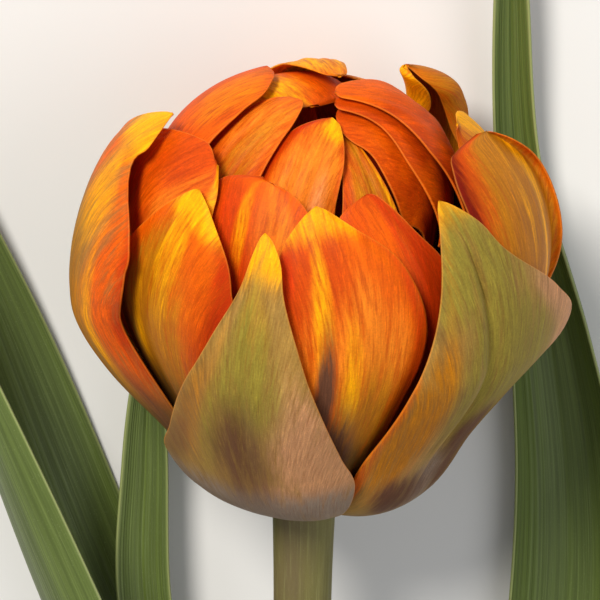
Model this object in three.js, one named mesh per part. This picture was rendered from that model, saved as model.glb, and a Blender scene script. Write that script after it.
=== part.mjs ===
// A cut double tulip lying on a flat surface: stem, three leaves, the petals of its full bloom,
// and the pistil and stamens inside. Millimetres, +Z up, the bloom points to +Y.
import * as THREE from 'three';

// Bloom, measured round its own axis
const BLOOM_RADIUS = 31.0;
const BLOOM_DEPTH_BELOW = 30.3;
const BLOOM_HEIGHT_ABOVE = 34.1;
// A petal lies on a layer: 0 is the outermost, each whole step inwards is one petal deeper
const LAYER_RADIUS_STEP = 2.15;
const LAYER_CENTRE_STEP = 2.1;
const LAYER_BASE_STEP = 1.3;
const LAYER_TOP_STEP = 0.8;
const SHOULDER_SWELL = 0.16;
const SHOULDER_LAYERS = 5;
const WAIST_PINCH = 0.13;
const BLOOM_LEAN = 3.5;
const BLOOM_TILT = 5;
const BLOOM_CENTRE_HEIGHT = 28.7;
// Middle of the flat spot the bloom rests on; the whole flower is set so that it lies at the origin
const REST_SPOT = [2.8, 6.4];

// Wall thicknesses
const PETAL_THICKNESS = 0.62;
const LEAF_THICKNESS = 0.9;

// Stem and receptacle
const STEM_RADIUS = 4.0;
const STEM_SIDES = 16;
const RECEPTACLE_RADIUS = 4.5;
const RECEPTACLE_TOP = -17.8;
const RECEPTACLE_FOOT = -29;
const RECEPTACLE_WAIST = -24;
const RECEPTACLE_ROUNDING = 0.5;
const SEAT_GAP = 0.3;
const PETAL_SEAT_CLEARANCE = SEAT_GAP + 0.2;
const LEAF_SEAT_CLEARANCE = SEAT_GAP + 0.15;
// Middle line of the stem: [part of its length, x, y, z]; it ends under the bloom
const STEM_COURSE = [
  [0, 3, -226, 4],
  [0.25, 3.6, -176, 8.6],
  [0.5, 2.2, -128, 14.2],
  [0.75, -0.2, -78, 20.6],
];
const STEM_STEPS = 22;
const STEM_SWELL = 0.35;
const STEM_SWELL_START = 0.9;

// Pistil and stamens, heights along the bloom's axis
const PISTIL_FOOT = RECEPTACLE_TOP + SEAT_GAP;
const PISTIL_LENGTH = 17;
const OVARY_RADIUS = 2.5;
const STIGMA_RADIUS = 3.3;
const STAMEN_COUNT = 6;
const STAMEN_RING_RADIUS = 3.5;
const FILAMENT_RADIUS = 0.55;
const FILAMENT_LENGTH = 6.5;
const ANTHER_RADIUS = 0.95;
const ANTHER_LENGTH = 6.5;

// Mesh fineness: longest step along a blade as a share of its length, and columns across it
const PETAL_ROW_STEP = 0.1;
const HIDDEN_ROW_STEP = 0.12;
const LEAF_ROW_STEP = 0.05;
const COLUMNS_SEEN = 8;
const COLUMNS_HIDDEN = 6;
const LEAF_COLUMNS = 6;

const radians = (degrees) => degrees * Math.PI / 180;
const clamp = (value, low, high) => Math.min(high, Math.max(low, value));

// Smooth curve through knots, each knot a row [position, value, value ...]
function through(knots, position, column) {
  const last = knots.length - 1;
  const slopeBetween = (i) => (knots[i + 1][column] - knots[i][column]) / (knots[i + 1][0] - knots[i][0]);
  const innerSlope = (i) => {
    const before = knots[i][0] - knots[i - 1][0];
    const after = knots[i + 1][0] - knots[i][0];
    return (slopeBetween(i - 1) * after + slopeBetween(i) * before) / (before + after);
  };
  const slopeAt = (i) => {
    if (last === 1) return slopeBetween(0);
    if (i === 0) return 1.5 * slopeBetween(0) - 0.5 * innerSlope(1);
    if (i === last) return 1.5 * slopeBetween(last - 1) - 0.5 * innerSlope(last - 1);
    return innerSlope(i);
  };
  let i = 0;
  while (i < last - 1 && position >= knots[i + 1][0]) i += 1;
  const gap = knots[i + 1][0] - knots[i][0];
  const x = (position - knots[i][0]) / gap;
  return (2 * x ** 3 - 3 * x ** 2 + 1) * knots[i][column]
    + (x ** 3 - 2 * x ** 2 + x) * gap * slopeAt(i)
    + (3 * x ** 2 - 2 * x ** 3) * knots[i + 1][column]
    + (x ** 3 - x ** 2) * gap * slopeAt(i + 1);
}

// Direction from the bloom's centre: azimuth round the axis, rise from its underside to its top
function direction(azimuth, rise) {
  const a = radians(azimuth);
  const r = radians(rise);
  return new THREE.Vector3(Math.sin(r) * Math.cos(a), Math.sin(r) * Math.sin(a), -Math.cos(r));
}

// Point of a layer in a direction
function onLayer(way, layer) {
  const centre = LAYER_CENTRE_STEP * layer;
  const below = centre + BLOOM_DEPTH_BELOW - LAYER_BASE_STEP * layer;
  const above = BLOOM_HEIGHT_ABOVE - LAYER_TOP_STEP * layer - centre;
  const swell = SHOULDER_SWELL * clamp(1 - layer / SHOULDER_LAYERS, 0, 1);
  const pinch = WAIST_PINCH * Math.sin(Math.PI * clamp(-way.z, 0, 1) ** 1.5);
  const radius = (BLOOM_RADIUS - LAYER_RADIUS_STEP * layer) * (way.z > 0 ? 1 + swell * way.z : 1 - pinch);
  return new THREE.Vector3(radius * way.x, radius * way.y, centre + (way.z < 0 ? below : above) * way.z);
}

// The bloom leans a little to the right on its stem
function leaned(point) {
  const foot = new THREE.Vector3(0, 0, -BLOOM_DEPTH_BELOW);
  return point.clone().sub(foot).applyAxisAngle(new THREE.Vector3(0, 1, 0), radians(BLOOM_LEAN)).add(foot);
}

// Bloom to resting place: its axis runs along +Y, raised a little, its back faces down
const restTurn = new THREE.Matrix4().makeRotationX(-radians(90 - BLOOM_TILT));
const restLift = new THREE.Vector3(0, 0, BLOOM_CENTRE_HEIGHT);
const laid = (point) => leaned(point).applyMatrix4(restTurn).add(restLift);

// Closed thin blade over a surface given by place(s, u): s from base to tip, u from left to right
function blade(place, rows, columns, thickness, lowest) {
  const nudge = 1e-4;
  const positions = [];
  const across = (k) => -1 + 2 * k / columns;
  for (const side of [0.5, -0.5]) {
    for (const s of rows) {
      for (let k = 0; k <= columns; k += 1) {
        const u = across(k);
        const alongS = place(Math.min(1, s + nudge), u).sub(place(Math.max(0, s - nudge), u));
        const alongU = place(s, Math.min(1, u + nudge)).sub(place(s, Math.max(-1, u - nudge)));
        const outward = alongU.cross(alongS).normalize();
        const point = place(s, u).addScaledVector(outward, side * thickness);
        if (lowest) lowest(point, side > 0 ? 0 : thickness);
        positions.push(point.x, point.y, point.z);
      }
    }
  }
  const perRow = columns + 1;
  const outer = (i, k) => i * perRow + k;
  const inner = (i, k) => rows.length * perRow + i * perRow + k;
  const index = [];
  const quad = (a, b, c, d) => index.push(a, b, c, a, c, d);
  const end = rows.length - 1;
  for (let i = 0; i < end; i += 1) {
    for (let k = 0; k < columns; k += 1) {
      quad(outer(i, k), outer(i, k + 1), outer(i + 1, k + 1), outer(i + 1, k));
      index.push(inner(i, k), inner(i + 1, k + 1), inner(i, k + 1));
      index.push(inner(i, k), inner(i + 1, k), inner(i + 1, k + 1));
    }
    quad(outer(i, 0), outer(i + 1, 0), inner(i + 1, 0), inner(i, 0));
    quad(outer(i, columns), inner(i, columns), inner(i + 1, columns), outer(i + 1, columns));
  }
  for (let k = 0; k < columns; k += 1) {
    quad(outer(0, k), inner(0, k), inner(0, k + 1), outer(0, k + 1));
    quad(outer(end, k), outer(end, k + 1), inner(end, k + 1), inner(end, k));
  }
  return closed(positions, index);
}

function closed(positions, index) {
  const geometry = new THREE.BufferGeometry();
  geometry.setAttribute('position', new THREE.Float32BufferAttribute(positions, 3));
  geometry.setIndex(index);
  geometry.computeVertexNormals();
  return geometry;
}

// Rows at every knot of an outline, with more between them where the knots are far apart
function rowsThrough(outline, step) {
  const rows = [0];
  for (let i = 1; i < outline.length; i += 1) {
    const from = outline[i - 1][0];
    const count = Math.ceil((outline[i][0] - from) / step - 0.01);
    for (let k = 1; k <= count; k += 1) rows.push(from + (outline[i][0] - from) * k / count);
  }
  return rows;
}

// Stack of rings joined into one closed body
function ringBody(rings) {
  const sides = rings[0].length;
  const positions = [];
  for (const ring of rings) for (const point of ring) positions.push(point.x, point.y, point.z);
  const index = [];
  for (let i = 0; i < rings.length - 1; i += 1) {
    for (let k = 0; k < sides; k += 1) {
      const a = i * sides + k;
      const b = i * sides + (k + 1) % sides;
      index.push(a, b, b + sides, a, b + sides, a + sides);
    }
  }
  const capAt = (ringNumber, flip) => {
    const middle = new THREE.Vector3();
    for (const point of rings[ringNumber]) middle.addScaledVector(point, 1 / sides);
    const centre = positions.length / 3;
    positions.push(middle.x, middle.y, middle.z);
    for (let k = 0; k < sides; k += 1) {
      const a = ringNumber * sides + k;
      const b = ringNumber * sides + (k + 1) % sides;
      if (flip) index.push(centre, b, a);
      else index.push(centre, a, b);
    }
  };
  capAt(0, true);
  capAt(rings.length - 1, false);
  return closed(positions, index);
}

// Petals. course: azimuth at the foot, then [azimuth, rise] up to the tip, in degrees.
// spread: [way up, left half-width, right half-width] in mm.
// layer: [way up, layer at left margin, at midrib, at right margin].
// curl: [way up, half-angle of the petal's own roll across, turn of that roll about the midrib], in degrees.
const petals = {
  // outermost, greenish
  guard_front: {
    course: [-108, [-110, 60], [-106, 122]],
    spread: [[0, 2.4, 2.4], [0.12, 10, 10], [0.3, 16.6, 15.2], [0.47, 13.2, 13.8], [0.58, 10.5, 12.2],
      [0.7, 7.3, 9.8], [0.8, 4.2, 7], [0.9, 1.4, 3.8], [0.96, 0.8, 2.4], [1, 0.3, 0.5]],
    layer: [[0, 0, 0, 0], [0.15, -0.5, -0.3, 0], [0.3, -0.4, -0.3, 0.1], [0.5, 0.1, -0.1, 0.1],
      [0.8, 0, 0, 0], [1, 0.1, 0.1, 0.1]],
    seen: true, colour: 0x96873a,
  },
  guard_right: {
    course: [-50, [-42, 55], [-45, 90], [-59, 130]],
    spread: [[0, 2.4, 2.4], [0.2, 11.1, 10.6], [0.35, 13.6, 13.4], [0.5, 13.6, 16.2],
      [0.58, 12.9, 18.6], [0.64, 12, 21], [0.73, 9.8, 14.5], [0.87, 5.4, 4.9], [0.93, 3.2, 3.3],
      [1, 0.3, 0.3]],
    layer: [[0, 0.6, 0.3, 0.2], [0.2, 0.8, -0.5, -0.4], [0.4, 0.5, 0.2, 0.6], [0.52, 0.35, 0.2, 0.3],
      [0.64, 0.3, 0, -1], [0.74, 0.2, 0, -0.5], [0.85, 0.1, 0, -0.1], [1, 0, 0, 0]],
    seen: true, colour: 0x8c8236,
  },
  guard_left: {
    course: [-176, [-178, 60], [-180, 95], [-164, 139]],
    spread: [[0, 2.4, 2.4], [0.2, 8, 9], [0.4, 12, 13.2], [0.52, 13, 14.8], [0.63, 13, 17.2],
      [0.77, 11.6, 17], [0.84, 9.4, 15.2], [0.875, 7.8, 11.5], [0.9, 6.2, 5.2], [0.95, 3.2, 3.8],
      [1, 0.3, 0.3]],
    layer: [[0, 0.1, 0.6, 1], [0.12, 0, 0.5, 1.2], [0.25, 0, 0.4, 1.35], [0.45, -0.4, -0.5, 1.2],
      [0.6, -0.6, -0.8, 0.75], [0.8, -0.2, -0.2, 0.55], [1, 0.8, 0.8, 0.8]],
    seen: true, colour: 0xd08a22,
  },
  guard_back_left: {
    course: [138, [136, 60], [134, 95], [130, 116]],
    spread: [[0, 2.4, 2.4], [0.2, 9, 9], [0.4, 13.5, 13.5], [0.6, 14, 14], [0.8, 9, 9], [0.92, 4, 4],
      [1, 0.3, 0.3]],
    layer: [[0, 0.3, 0.6, 1], [0.15, 0.3, 0.5, 1], [0.3, 0.4, 0.2, 0.9], [0.5, 0.4, 0.1, 0.6],
      [0.8, 0.4, 0.2, 0.6], [1, 0.6, 0.6, 0.6]],
    seen: false, colour: 0x96873a,
  },
  guard_back: {
    course: [80, [82, 60], [84, 95], [90, 126]],
    spread: [[0, 2.4, 2.4], [0.2, 9, 9], [0.4, 14, 14], [0.6, 14.5, 14.5], [0.8, 9.5, 9.5],
      [0.92, 4, 4], [1, 0.3, 0.3]],
    layer: [[0, 0.9, 0.9, 1.2], [0.3, 0.6, 0.6, 1.2], [0.5, 0.6, 0.6, 1.3], [0.8, 0.6, 0.7, 1.2],
      [0.92, 0.7, 0.8, 1], [1, 0.8, 0.8, 0.8]],
    seen: true, colour: 0x96873a,
  },
  guard_back_right: {
    course: [28, [26, 60], [24, 95], [22, 122]],
    spread: [[0, 2.4, 2.4], [0.2, 9, 9], [0.4, 13.5, 13.5], [0.6, 13.5, 13.5], [0.8, 8.5, 8.5],
      [0.92, 4, 4], [1, 0.3, 0.3]],
    layer: [[0, 0.1, 0.1, 0.1], [0.3, 0.1, 0, -0.1], [0.5, 0.1, 0, -0.1], [0.8, 0.2, 0.1, 0.1],
      [1, 0.3, 0.3, 0.3]],
    seen: false, colour: 0x96873a,
  },
  // next ring, orange
  outer_centre: {
    course: [-86, [-84, 60], [-84, 95], [-94, 127]],
    spread: [[0, 2.2, 2.2], [0.2, 8, 8], [0.4, 11, 8], [0.56, 12, 8.8], [0.71, 11, 10.8],
      [0.8, 9.2, 9.6], [0.88, 6.8, 7.2], [0.94, 5.2, 3.6], [1, 0.6, 0.4]],
    layer: [[0, 1.5, 1.5, 1.5], [0.2, 1.5, 1.4, 1.6], [0.5, 1.3, 0.9, 1.3], [0.8, 1.2, 1, 1.1],
      [1, 1.2, 1.2, 1.2]],
    seen: true, colour: 0xdc8226,
  },
  outer_left: {
    course: [-150, [-148, 60], [-143, 95], [-134, 123]],
    spread: [[0, 2.2, 2.2], [0.2, 8.2, 8], [0.4, 14, 12], [0.6, 12.4, 13.5], [0.74, 8.6, 13.4],
      [0.84, 5.2, 12], [0.93, 2.6, 8.4], [1, 0.4, 1.2]],
    layer: [[0, 2, 2, 2], [0.1, 1.5, 1.9, 2], [0.2, 1.2, 1.9, 2], [0.4, 1.2, 1.9, 2.1],
      [0.6, 1.5, 1.9, 2.2], [0.8, 1.9, 2, 2.2], [1, 2, 2, 2]],
    seen: true, colour: 0xd77d22,
  },
  outer_far_left: {
    course: [-166, [-166, 60], [-162, 100], [-136, 129]],
    spread: [[0, 2, 2], [0.2, 7, 7], [0.4, 10, 10], [0.6, 10.5, 12], [0.7, 15, 12], [0.8, 13.2, 11.5],
      [0.88, 10, 10], [0.95, 6, 8], [1, 2.6, 3.4]],
    layer: [[0, 3, 3, 3], [0.5, 2.9, 2.9, 3.1], [0.7, 1.3, 2.6, 3.2], [0.85, 1.5, 2.4, 3],
      [1, 2.8, 2.9, 3.1]],
    seen: true, colour: 0xf05a0c,
  },
  outer_mid_left: {
    course: [-120, [-118, 60], [-114, 100], [-114, 126]],
    spread: [[0, 2, 2], [0.2, 6.5, 6.5], [0.4, 9.5, 9.5], [0.6, 10.5, 10.5], [0.8, 10, 9.5],
      [0.92, 9, 7], [0.97, 7.6, 4.6], [1, 5, 1.8]],
    layer: [[0, 3.5, 3.5, 3.5], [0.5, 3.9, 3.5, 3.5], [0.8, 4, 3.5, 3.4], [1, 4, 3.6, 3.5]],
    seen: true, colour: 0xe1460c,
  },
  outer_mid_right: {
    course: [-60, [-60, 60], [-63, 95], [-78, 128]],
    spread: [[0, 2.2, 2.2], [0.2, 7, 7], [0.4, 10, 8.5], [0.6, 10.5, 7], [0.72, 10, 6], [0.8, 9.2, 5.2],
      [0.88, 8, 3.2], [0.95, 6.4, 1.9], [1, 3.6, 0.8]],
    layer: [[0, 2.1, 2.1, 2.1], [0.5, 2.3, 2, 2.1], [0.8, 2.2, 2, 2.1], [1, 2.3, 2.3, 2.3]],
    seen: true, colour: 0xeb550c,
  },
  outer_right: {
    course: [-25, [-22, 60], [-20, 110], [-16, 139]],
    spread: [[0, 2.2, 2.2], [0.2, 7, 7], [0.4, 10, 11], [0.6, 11.5, 12], [0.74, 11.8, 11.6],
      [0.85, 11.8, 10.8], [0.94, 11.2, 7.4], [1, 9.2, 0.8]],
    layer: [[0, 1.1, 1.1, 1.1], [0.5, 1.3, 1, 0.9], [0.8, 1.3, 0.7, 0.3], [1, 1.3, 1, 0.6]],
    seen: true, colour: 0xbe6418,
  },
  outer_far_right: {
    course: [4, [4, 60], [0, 110], [-14, 139.5]],
    spread: [[0, 2.2, 2.2], [0.2, 7, 6.5], [0.4, 10, 7.5], [0.6, 11, 7.4], [0.8, 13, 9], [0.88, 13, 9],
      [0.94, 10.6, 7], [1, 5, 3]],
    layer: [[0, 2.1, 2.1, 2.1], [0.5, 2.2, 1.8, 2.2], [0.8, 2.8, 2.2, 2.4], [1, 3.1, 2.9, 2.9]],
    seen: false, colour: 0xe18220,
  },
  outer_hooded: {
    course: [52, [53, 60], [58, 110], [51.5, 147]],
    spread: [[0, 2.2, 2.2], [0.2, 7, 7], [0.4, 10, 8.4], [0.6, 11.2, 10], [0.8, 10.8, 10.8],
      [0.9, 10.6, 10.6], [0.96, 9, 9], [1, 4, 4]],
    layer: [[0, 1.5, 1.5, 1.5], [0.25, 1.4, 1.3, 1.4], [0.5, 1.3, 1.2, 1.3], [0.7, 1.2, 1.1, 1.2],
      [0.82, 0.7, 0.7, 0.7], [0.9, 0.5, 0.5, 0.5], [0.96, 0.7, 0.7, 0.7], [1, 1.7, 1.7, 1.7]],
    curl: [[0, 0, 0], [0.44, 0, 0], [0.5, 4, 1], [0.7, 80, 26], [0.82, 150, 42], [1, 165, 46]],
    seen: true, colour: 0xdc7818,
  },
  outer_back_right: {
    course: [84, [86, 60], [90, 100], [91, 131]],
    spread: [[0, 2.2, 2.2], [0.2, 5.4, 7], [0.4, 5, 10], [0.6, 3.6, 11.5], [0.8, 2.8, 9.5],
      [0.92, 2.5, 5.5], [1, 1, 1]],
    layer: [[0, 2.2, 2.2, 2.2], [0.5, 2.4, 2.1, 2.1], [1, 2.3, 2.2, 2.2]],
    seen: false, colour: 0xe16e18,
  },
  outer_back: {
    course: [114, [114, 60], [114, 100], [112, 128]],
    spread: [[0, 2.2, 2.2], [0.2, 7, 7], [0.4, 10, 10], [0.6, 11.5, 11.5], [0.8, 9.5, 9.5],
      [0.92, 5.5, 5.5], [1, 1, 1]],
    layer: [[0, 3, 3, 3], [0.5, 3.1, 2.9, 2.9], [1, 3, 3, 3]],
    seen: false, colour: 0xe16e18,
  },
  outer_back_left: {
    course: [158, [158, 60], [158, 100], [158, 119]],
    spread: [[0, 2.2, 2.2], [0.2, 7, 6.5], [0.4, 10, 7], [0.6, 11.5, 5.5], [0.8, 9, 4.5],
      [0.92, 5.5, 3.5], [1, 1, 1]],
    layer: [[0, 2, 2, 2], [0.5, 1.9, 1.9, 2.2], [0.7, 2, 2.3, 2.6], [1, 2.5, 2.6, 2.7]],
    seen: false, colour: 0xe16e18,
  },
  // dome of inner petals that close over the middle
  dome_left: {
    course: [-176, [-176, 60], [-178, 110], [172, 138], [150, 156]],
    spread: [[0, 1.9, 1.9], [0.2, 5.5, 5.5], [0.4, 7.5, 8], [0.6, 8.5, 9.5], [0.75, 8.5, 10.5],
      [0.88, 7, 10], [0.96, 5, 7.5], [1, 2, 3]],
    layer: [[0, 4.2, 4.2, 4.2], [0.6, 4.1, 3.6, 4.2], [0.8, 3.4, 3, 4], [1, 3.6, 3.6, 4.2]],
    seen: true, colour: 0xe1550c,
  },
  dome_back_left: {
    course: [140, [140, 60], [140, 110], [148, 146], [-118, 160]],
    spread: [[0, 1.9, 1.9], [0.2, 5.5, 5.5], [0.4, 7.5, 8], [0.6, 8, 9], [0.72, 8.2, 9],
      [0.8, 8.6, 8.4], [0.88, 9.4, 7], [0.94, 8, 5], [1, 4, 2]],
    layer: [[0, 5, 5, 5], [0.6, 5, 4.9, 5], [0.74, 5, 5, 5], [0.88, 7.6, 6, 6.2], [1, 8.2, 7.6, 7.2]],
    seen: false, colour: 0xf0780c,
  },
  dome_front_left: {
    course: [-150, [-148, 60], [-142, 115], [-122, 158]],
    spread: [[0, 1.7, 1.7], [0.2, 4.5, 4.5], [0.5, 6, 6], [0.7, 6.2, 6.2], [0.8, 6, 5.2],
      [0.88, 5.6, 4], [0.95, 4.5, 2.5], [1, 1.5, 0.6]],
    layer: [[0, 5.2, 5.2, 5.2], [0.6, 5.2, 5.2, 5.2], [0.8, 5.5, 5.4, 5.3], [1, 5.8, 5.5, 5.2]],
    seen: true, colour: 0xcd6e28,
  },
  dome_front: {
    course: [-106, [-106, 60], [-104, 110], [-90, 151]],
    spread: [[0, 1.7, 1.7], [0.2, 4.5, 4.5], [0.5, 6.3, 6.3], [0.72, 6.6, 5.2], [0.8, 6.2, 4.8],
      [0.87, 5.2, 4.2], [0.94, 3.5, 2.8], [1, 0.4, 0.9]],
    layer: [[0, 6.2, 6.2, 6.2], [0.6, 6.4, 5.8, 6.2], [0.85, 6.6, 5.4, 5.6], [0.94, 6.1, 5.5, 5.5],
      [1, 5.6, 5.6, 5.6]],
    seen: true, colour: 0xf08232,
  },
  dome_front_right: {
    course: [-70, [-70, 60], [-70, 105], [-83, 145]],
    spread: [[0, 1.7, 1.7], [0.2, 4.2, 4.2], [0.5, 5.2, 5.4], [0.66, 4.8, 3.6], [0.8, 3.2, 2.3],
      [0.9, 1.6, 1.3], [1, 0.3, 0.3]],
    layer: [[0, 5.3, 5.3, 5.3], [0.6, 5.5, 5.5, 5.5], [0.85, 6.6, 6.6, 6.6], [0.93, 7.5, 7.5, 7.5],
      [1, 7.7, 7.7, 7.7]],
    seen: true, colour: 0xc86e18,
  },
  dome_inner_right: {
    course: [-48, [-48, 60], [-52, 110], [-62, 140]],
    spread: [[0, 1.7, 1.7], [0.2, 4.5, 4.5], [0.5, 6.5, 6.5], [0.75, 6.5, 6], [0.9, 4, 4], [1, 1, 1]],
    layer: [[0, 7.9, 7.9, 7.9], [0.7, 8.2, 8.2, 8.2], [1, 8.5, 8.5, 8.5]],
    seen: true, colour: 0xaa3214,
  },
  dome_right_inner: {
    course: [-10, [-10, 60], [-14, 110], [-44, 144], [-86, 154]],
    spread: [[0, 1.9, 1.9], [0.2, 5, 5], [0.4, 7.5, 8], [0.6, 10, 9], [0.7, 10.4, 9], [0.8, 8.4, 9],
      [0.9, 5.2, 6.5], [0.96, 4, 4], [1, 2, 1]],
    layer: [[0, 7.1, 7.1, 7.1], [0.3, 6.6, 7.1, 7.3], [0.45, 6.3, 7.4, 7.7], [0.6, 6.3, 7.5, 7.9],
      [0.78, 6.4, 7.1, 7.3], [0.88, 6.4, 6.6, 6.7], [1, 6.6, 6.6, 6.6]],
    seen: true, colour: 0xf05008,
  },
  dome_right_mid: {
    course: [2, [2, 60], [-2, 110], [-32, 145], [-88, 159]],
    spread: [[0, 1.9, 1.9], [0.2, 5.5, 5.5], [0.4, 9.6, 8], [0.54, 12, 9], [0.62, 11.6, 9],
      [0.7, 10.4, 9], [0.8, 7.4, 8], [0.9, 2.6, 6], [1, 1, 1.5]],
    layer: [[0, 6.4, 6.4, 6.4], [0.3, 5.8, 6.4, 6.6], [0.45, 5.3, 6.7, 7.1], [0.6, 5.2, 6.8, 7.4],
      [0.75, 5.2, 6.1, 6.6], [0.88, 5.2, 5.3, 5.5], [1, 5.2, 5.2, 5.2]],
    seen: true, colour: 0xf55f08,
  },
  dome_right_outer: {
    course: [22, [22, 60], [18, 110], [-16, 148], [-88, 164]],
    spread: [[0, 1.9, 1.9], [0.2, 5.5, 5.5], [0.4, 8, 7], [0.55, 9, 6], [0.6, 10.5, 5.5],
      [0.64, 14.6, 4.6], [0.72, 13, 4.4], [0.8, 8.4, 4.6], [0.9, 3.2, 4.8], [1, 1, 1.5]],
    layer: [[0, 5.7, 5.7, 5.7], [0.3, 5, 5.7, 5.9], [0.45, 4.5, 6, 6.4], [0.6, 4.3, 6.1, 6.7],
      [0.75, 4.3, 5.2, 5.7], [0.88, 4.2, 4.3, 4.5], [1, 4.2, 4.2, 4.2]],
    seen: true, colour: 0xeb5a08,
  },
  dome_back_right: {
    course: [62, [62, 60], [62, 110], [60, 140], [40, 164]],
    spread: [[0, 1.9, 1.9], [0.2, 4, 5.5], [0.4, 5.5, 8], [0.6, 6, 9], [0.75, 6, 9], [0.88, 5, 7],
      [1, 2, 2]],
    layer: [[0, 5, 5, 5], [0.4, 5.7, 5.6, 5.4], [0.6, 6.3, 6.1, 5.5], [0.8, 6.3, 6.2, 5.7],
      [1, 6.2, 6.1, 6]],
    seen: false, colour: 0xf58c0c,
  },
  dome_back: {
    course: [104, [104, 60], [104, 110], [104, 145], [-70, 174]],
    spread: [[0, 1.9, 1.9], [0.2, 5.5, 5.5], [0.4, 7.5, 8], [0.55, 6.6, 9], [0.7, 4, 6.6],
      [0.82, 2.6, 5], [0.92, 2.2, 4], [1, 1, 1.5]],
    layer: [[0, 3.8, 3.8, 3.8], [0.5, 3.9, 3.8, 3.8], [0.65, 4.2, 4, 3.9], [0.8, 4.2, 4, 3.9],
      [1, 3.9, 3.9, 3.9]],
    seen: false, colour: 0xf0820c,
  },
};

// The foot of a petal stands just off the receptacle
function footRise(layer) {
  const radius = BLOOM_RADIUS - LAYER_RADIUS_STEP * layer;
  return Math.asin((RECEPTACLE_RADIUS + PETAL_SEAT_CLEARANCE) / radius) * 180 / Math.PI;
}

function petalSurface(petal) {
  const [footAzimuth, ...higher] = petal.course;
  const stops = [[footAzimuth, footRise(petal.layer[0][2])], ...higher].map(([a, r]) => direction(a, r));
  let travelled = 0;
  const knots = stops.map((stop, i) => {
    if (i > 0) travelled += stop.angleTo(stops[i - 1]);
    return [travelled, stop.x, stop.y, stop.z];
  });
  for (const knot of knots) knot[0] /= travelled;
  const midrib = (s) => new THREE.Vector3(
    through(knots, s, 1), through(knots, s, 2), through(knots, s, 3)).normalize();
  const curl = petal.curl || [[0, 0, 0], [1, 0, 0]];
  const step = 1e-3;
  return (s, u) => {
    const middle = midrib(s);
    const onward = midrib(Math.min(1, s + step)).sub(midrib(Math.max(0, s - step))).normalize();
    const sideways = onward.cross(middle).normalize();
    const halfWidth = Math.max(0.2, through(petal.spread, s, u < 0 ? 1 : 2));
    const layerMiddle = through(petal.layer, s, 2);
    const layerMargin = through(petal.layer, s, u < 0 ? 1 : 3);
    const roll = radians(Math.max(0, through(curl, s, 1))) + 1e-6;
    const turned = radians(through(curl, s, 2));
    const across = halfWidth / roll * Math.sin(roll * u);
    const inwards = halfWidth / roll * (1 - Math.cos(roll * u));
    const reach = across * Math.cos(turned) - inwards * Math.sin(turned);
    const rollDepth = across * Math.sin(turned) + inwards * Math.cos(turned);
    const layer = layerMiddle + (layerMargin - layerMiddle) * u * u + rollDepth / LAYER_RADIUS_STEP;
    const turn = reach / (BLOOM_RADIUS - LAYER_RADIUS_STEP * layerMiddle);
    const way = middle.multiplyScalar(Math.cos(turn)).addScaledVector(sideways, Math.sin(turn));
    return onLayer(way, layer);
  };
}

// Nothing sinks below the flat surface the flower lies on; the lowest petal is pressed flat there
function keepAbove(point, height) {
  const sink = height - laid(point).z;
  if (sink > 0) point.y -= sink / Math.cos(radians(BLOOM_TILT));
}

const double_tulip = new THREE.Group();
double_tulip.name = 'double_tulip';
const bloom = new THREE.Group();
bloom.name = 'bloom';
const heart = new THREE.Group();
heart.name = 'heart';
const stalk = new THREE.Group();
stalk.name = 'stalk';
bloom.add(heart);
double_tulip.add(bloom, stalk);
double_tulip.position.set(-REST_SPOT[0], -REST_SPOT[1], 0);

bloom.rotation.set(-radians(90 - BLOOM_TILT), radians(BLOOM_LEAN), 0, 'XYZ');
bloom.position.copy(laid(new THREE.Vector3(0, 0, 0)));

function addMesh(group, name, geometry, colour, roughness) {
  const material = new THREE.MeshStandardMaterial({ color: colour, roughness });
  material.name = `${name}_surface`;
  const mesh = new THREE.Mesh(geometry, material);
  mesh.name = name;
  group.add(mesh);
}

for (const [name, petal] of Object.entries(petals)) {
  const columns = petal.seen ? COLUMNS_SEEN : COLUMNS_HIDDEN;
  const rows = rowsThrough(petal.spread, petal.seen ? PETAL_ROW_STEP : HIDDEN_ROW_STEP);
  const geometry = blade(petalSurface(petal), rows, columns, PETAL_THICKNESS, keepAbove);
  addMesh(bloom, name, geometry, petal.colour, 0.5);
}

// Pistil: a three-sided ovary under a three-lobed stigma
function threeLobed(height, radius, lobe) {
  const sides = 12;
  return Array.from({ length: sides }, (_, k) => {
    const angle = 2 * Math.PI * k / sides;
    const reach = radius * (1 + lobe * Math.cos(3 * angle));
    return new THREE.Vector3(reach * Math.cos(angle), reach * Math.sin(angle), height);
  });
}
const stigmaFoot = PISTIL_FOOT + 0.78 * PISTIL_LENGTH;
const pistilTop = PISTIL_FOOT + PISTIL_LENGTH;
addMesh(heart, 'pistil', ringBody([
  threeLobed(PISTIL_FOOT, 0.68 * OVARY_RADIUS, 0.05),
  threeLobed(PISTIL_FOOT + 0.2 * PISTIL_LENGTH, OVARY_RADIUS, 0.12),
  threeLobed(PISTIL_FOOT + 0.55 * PISTIL_LENGTH, 0.95 * OVARY_RADIUS, 0.14),
  threeLobed(stigmaFoot, 0.7 * OVARY_RADIUS, 0.14),
  threeLobed(stigmaFoot + 1.2, STIGMA_RADIUS, 0.32),
  threeLobed(pistilTop - 0.6, 1.05 * STIGMA_RADIUS, 0.36),
  threeLobed(pistilTop, 0.6 * STIGMA_RADIUS, 0.3),
]), 0xb7bf6a, 0.6);

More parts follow.
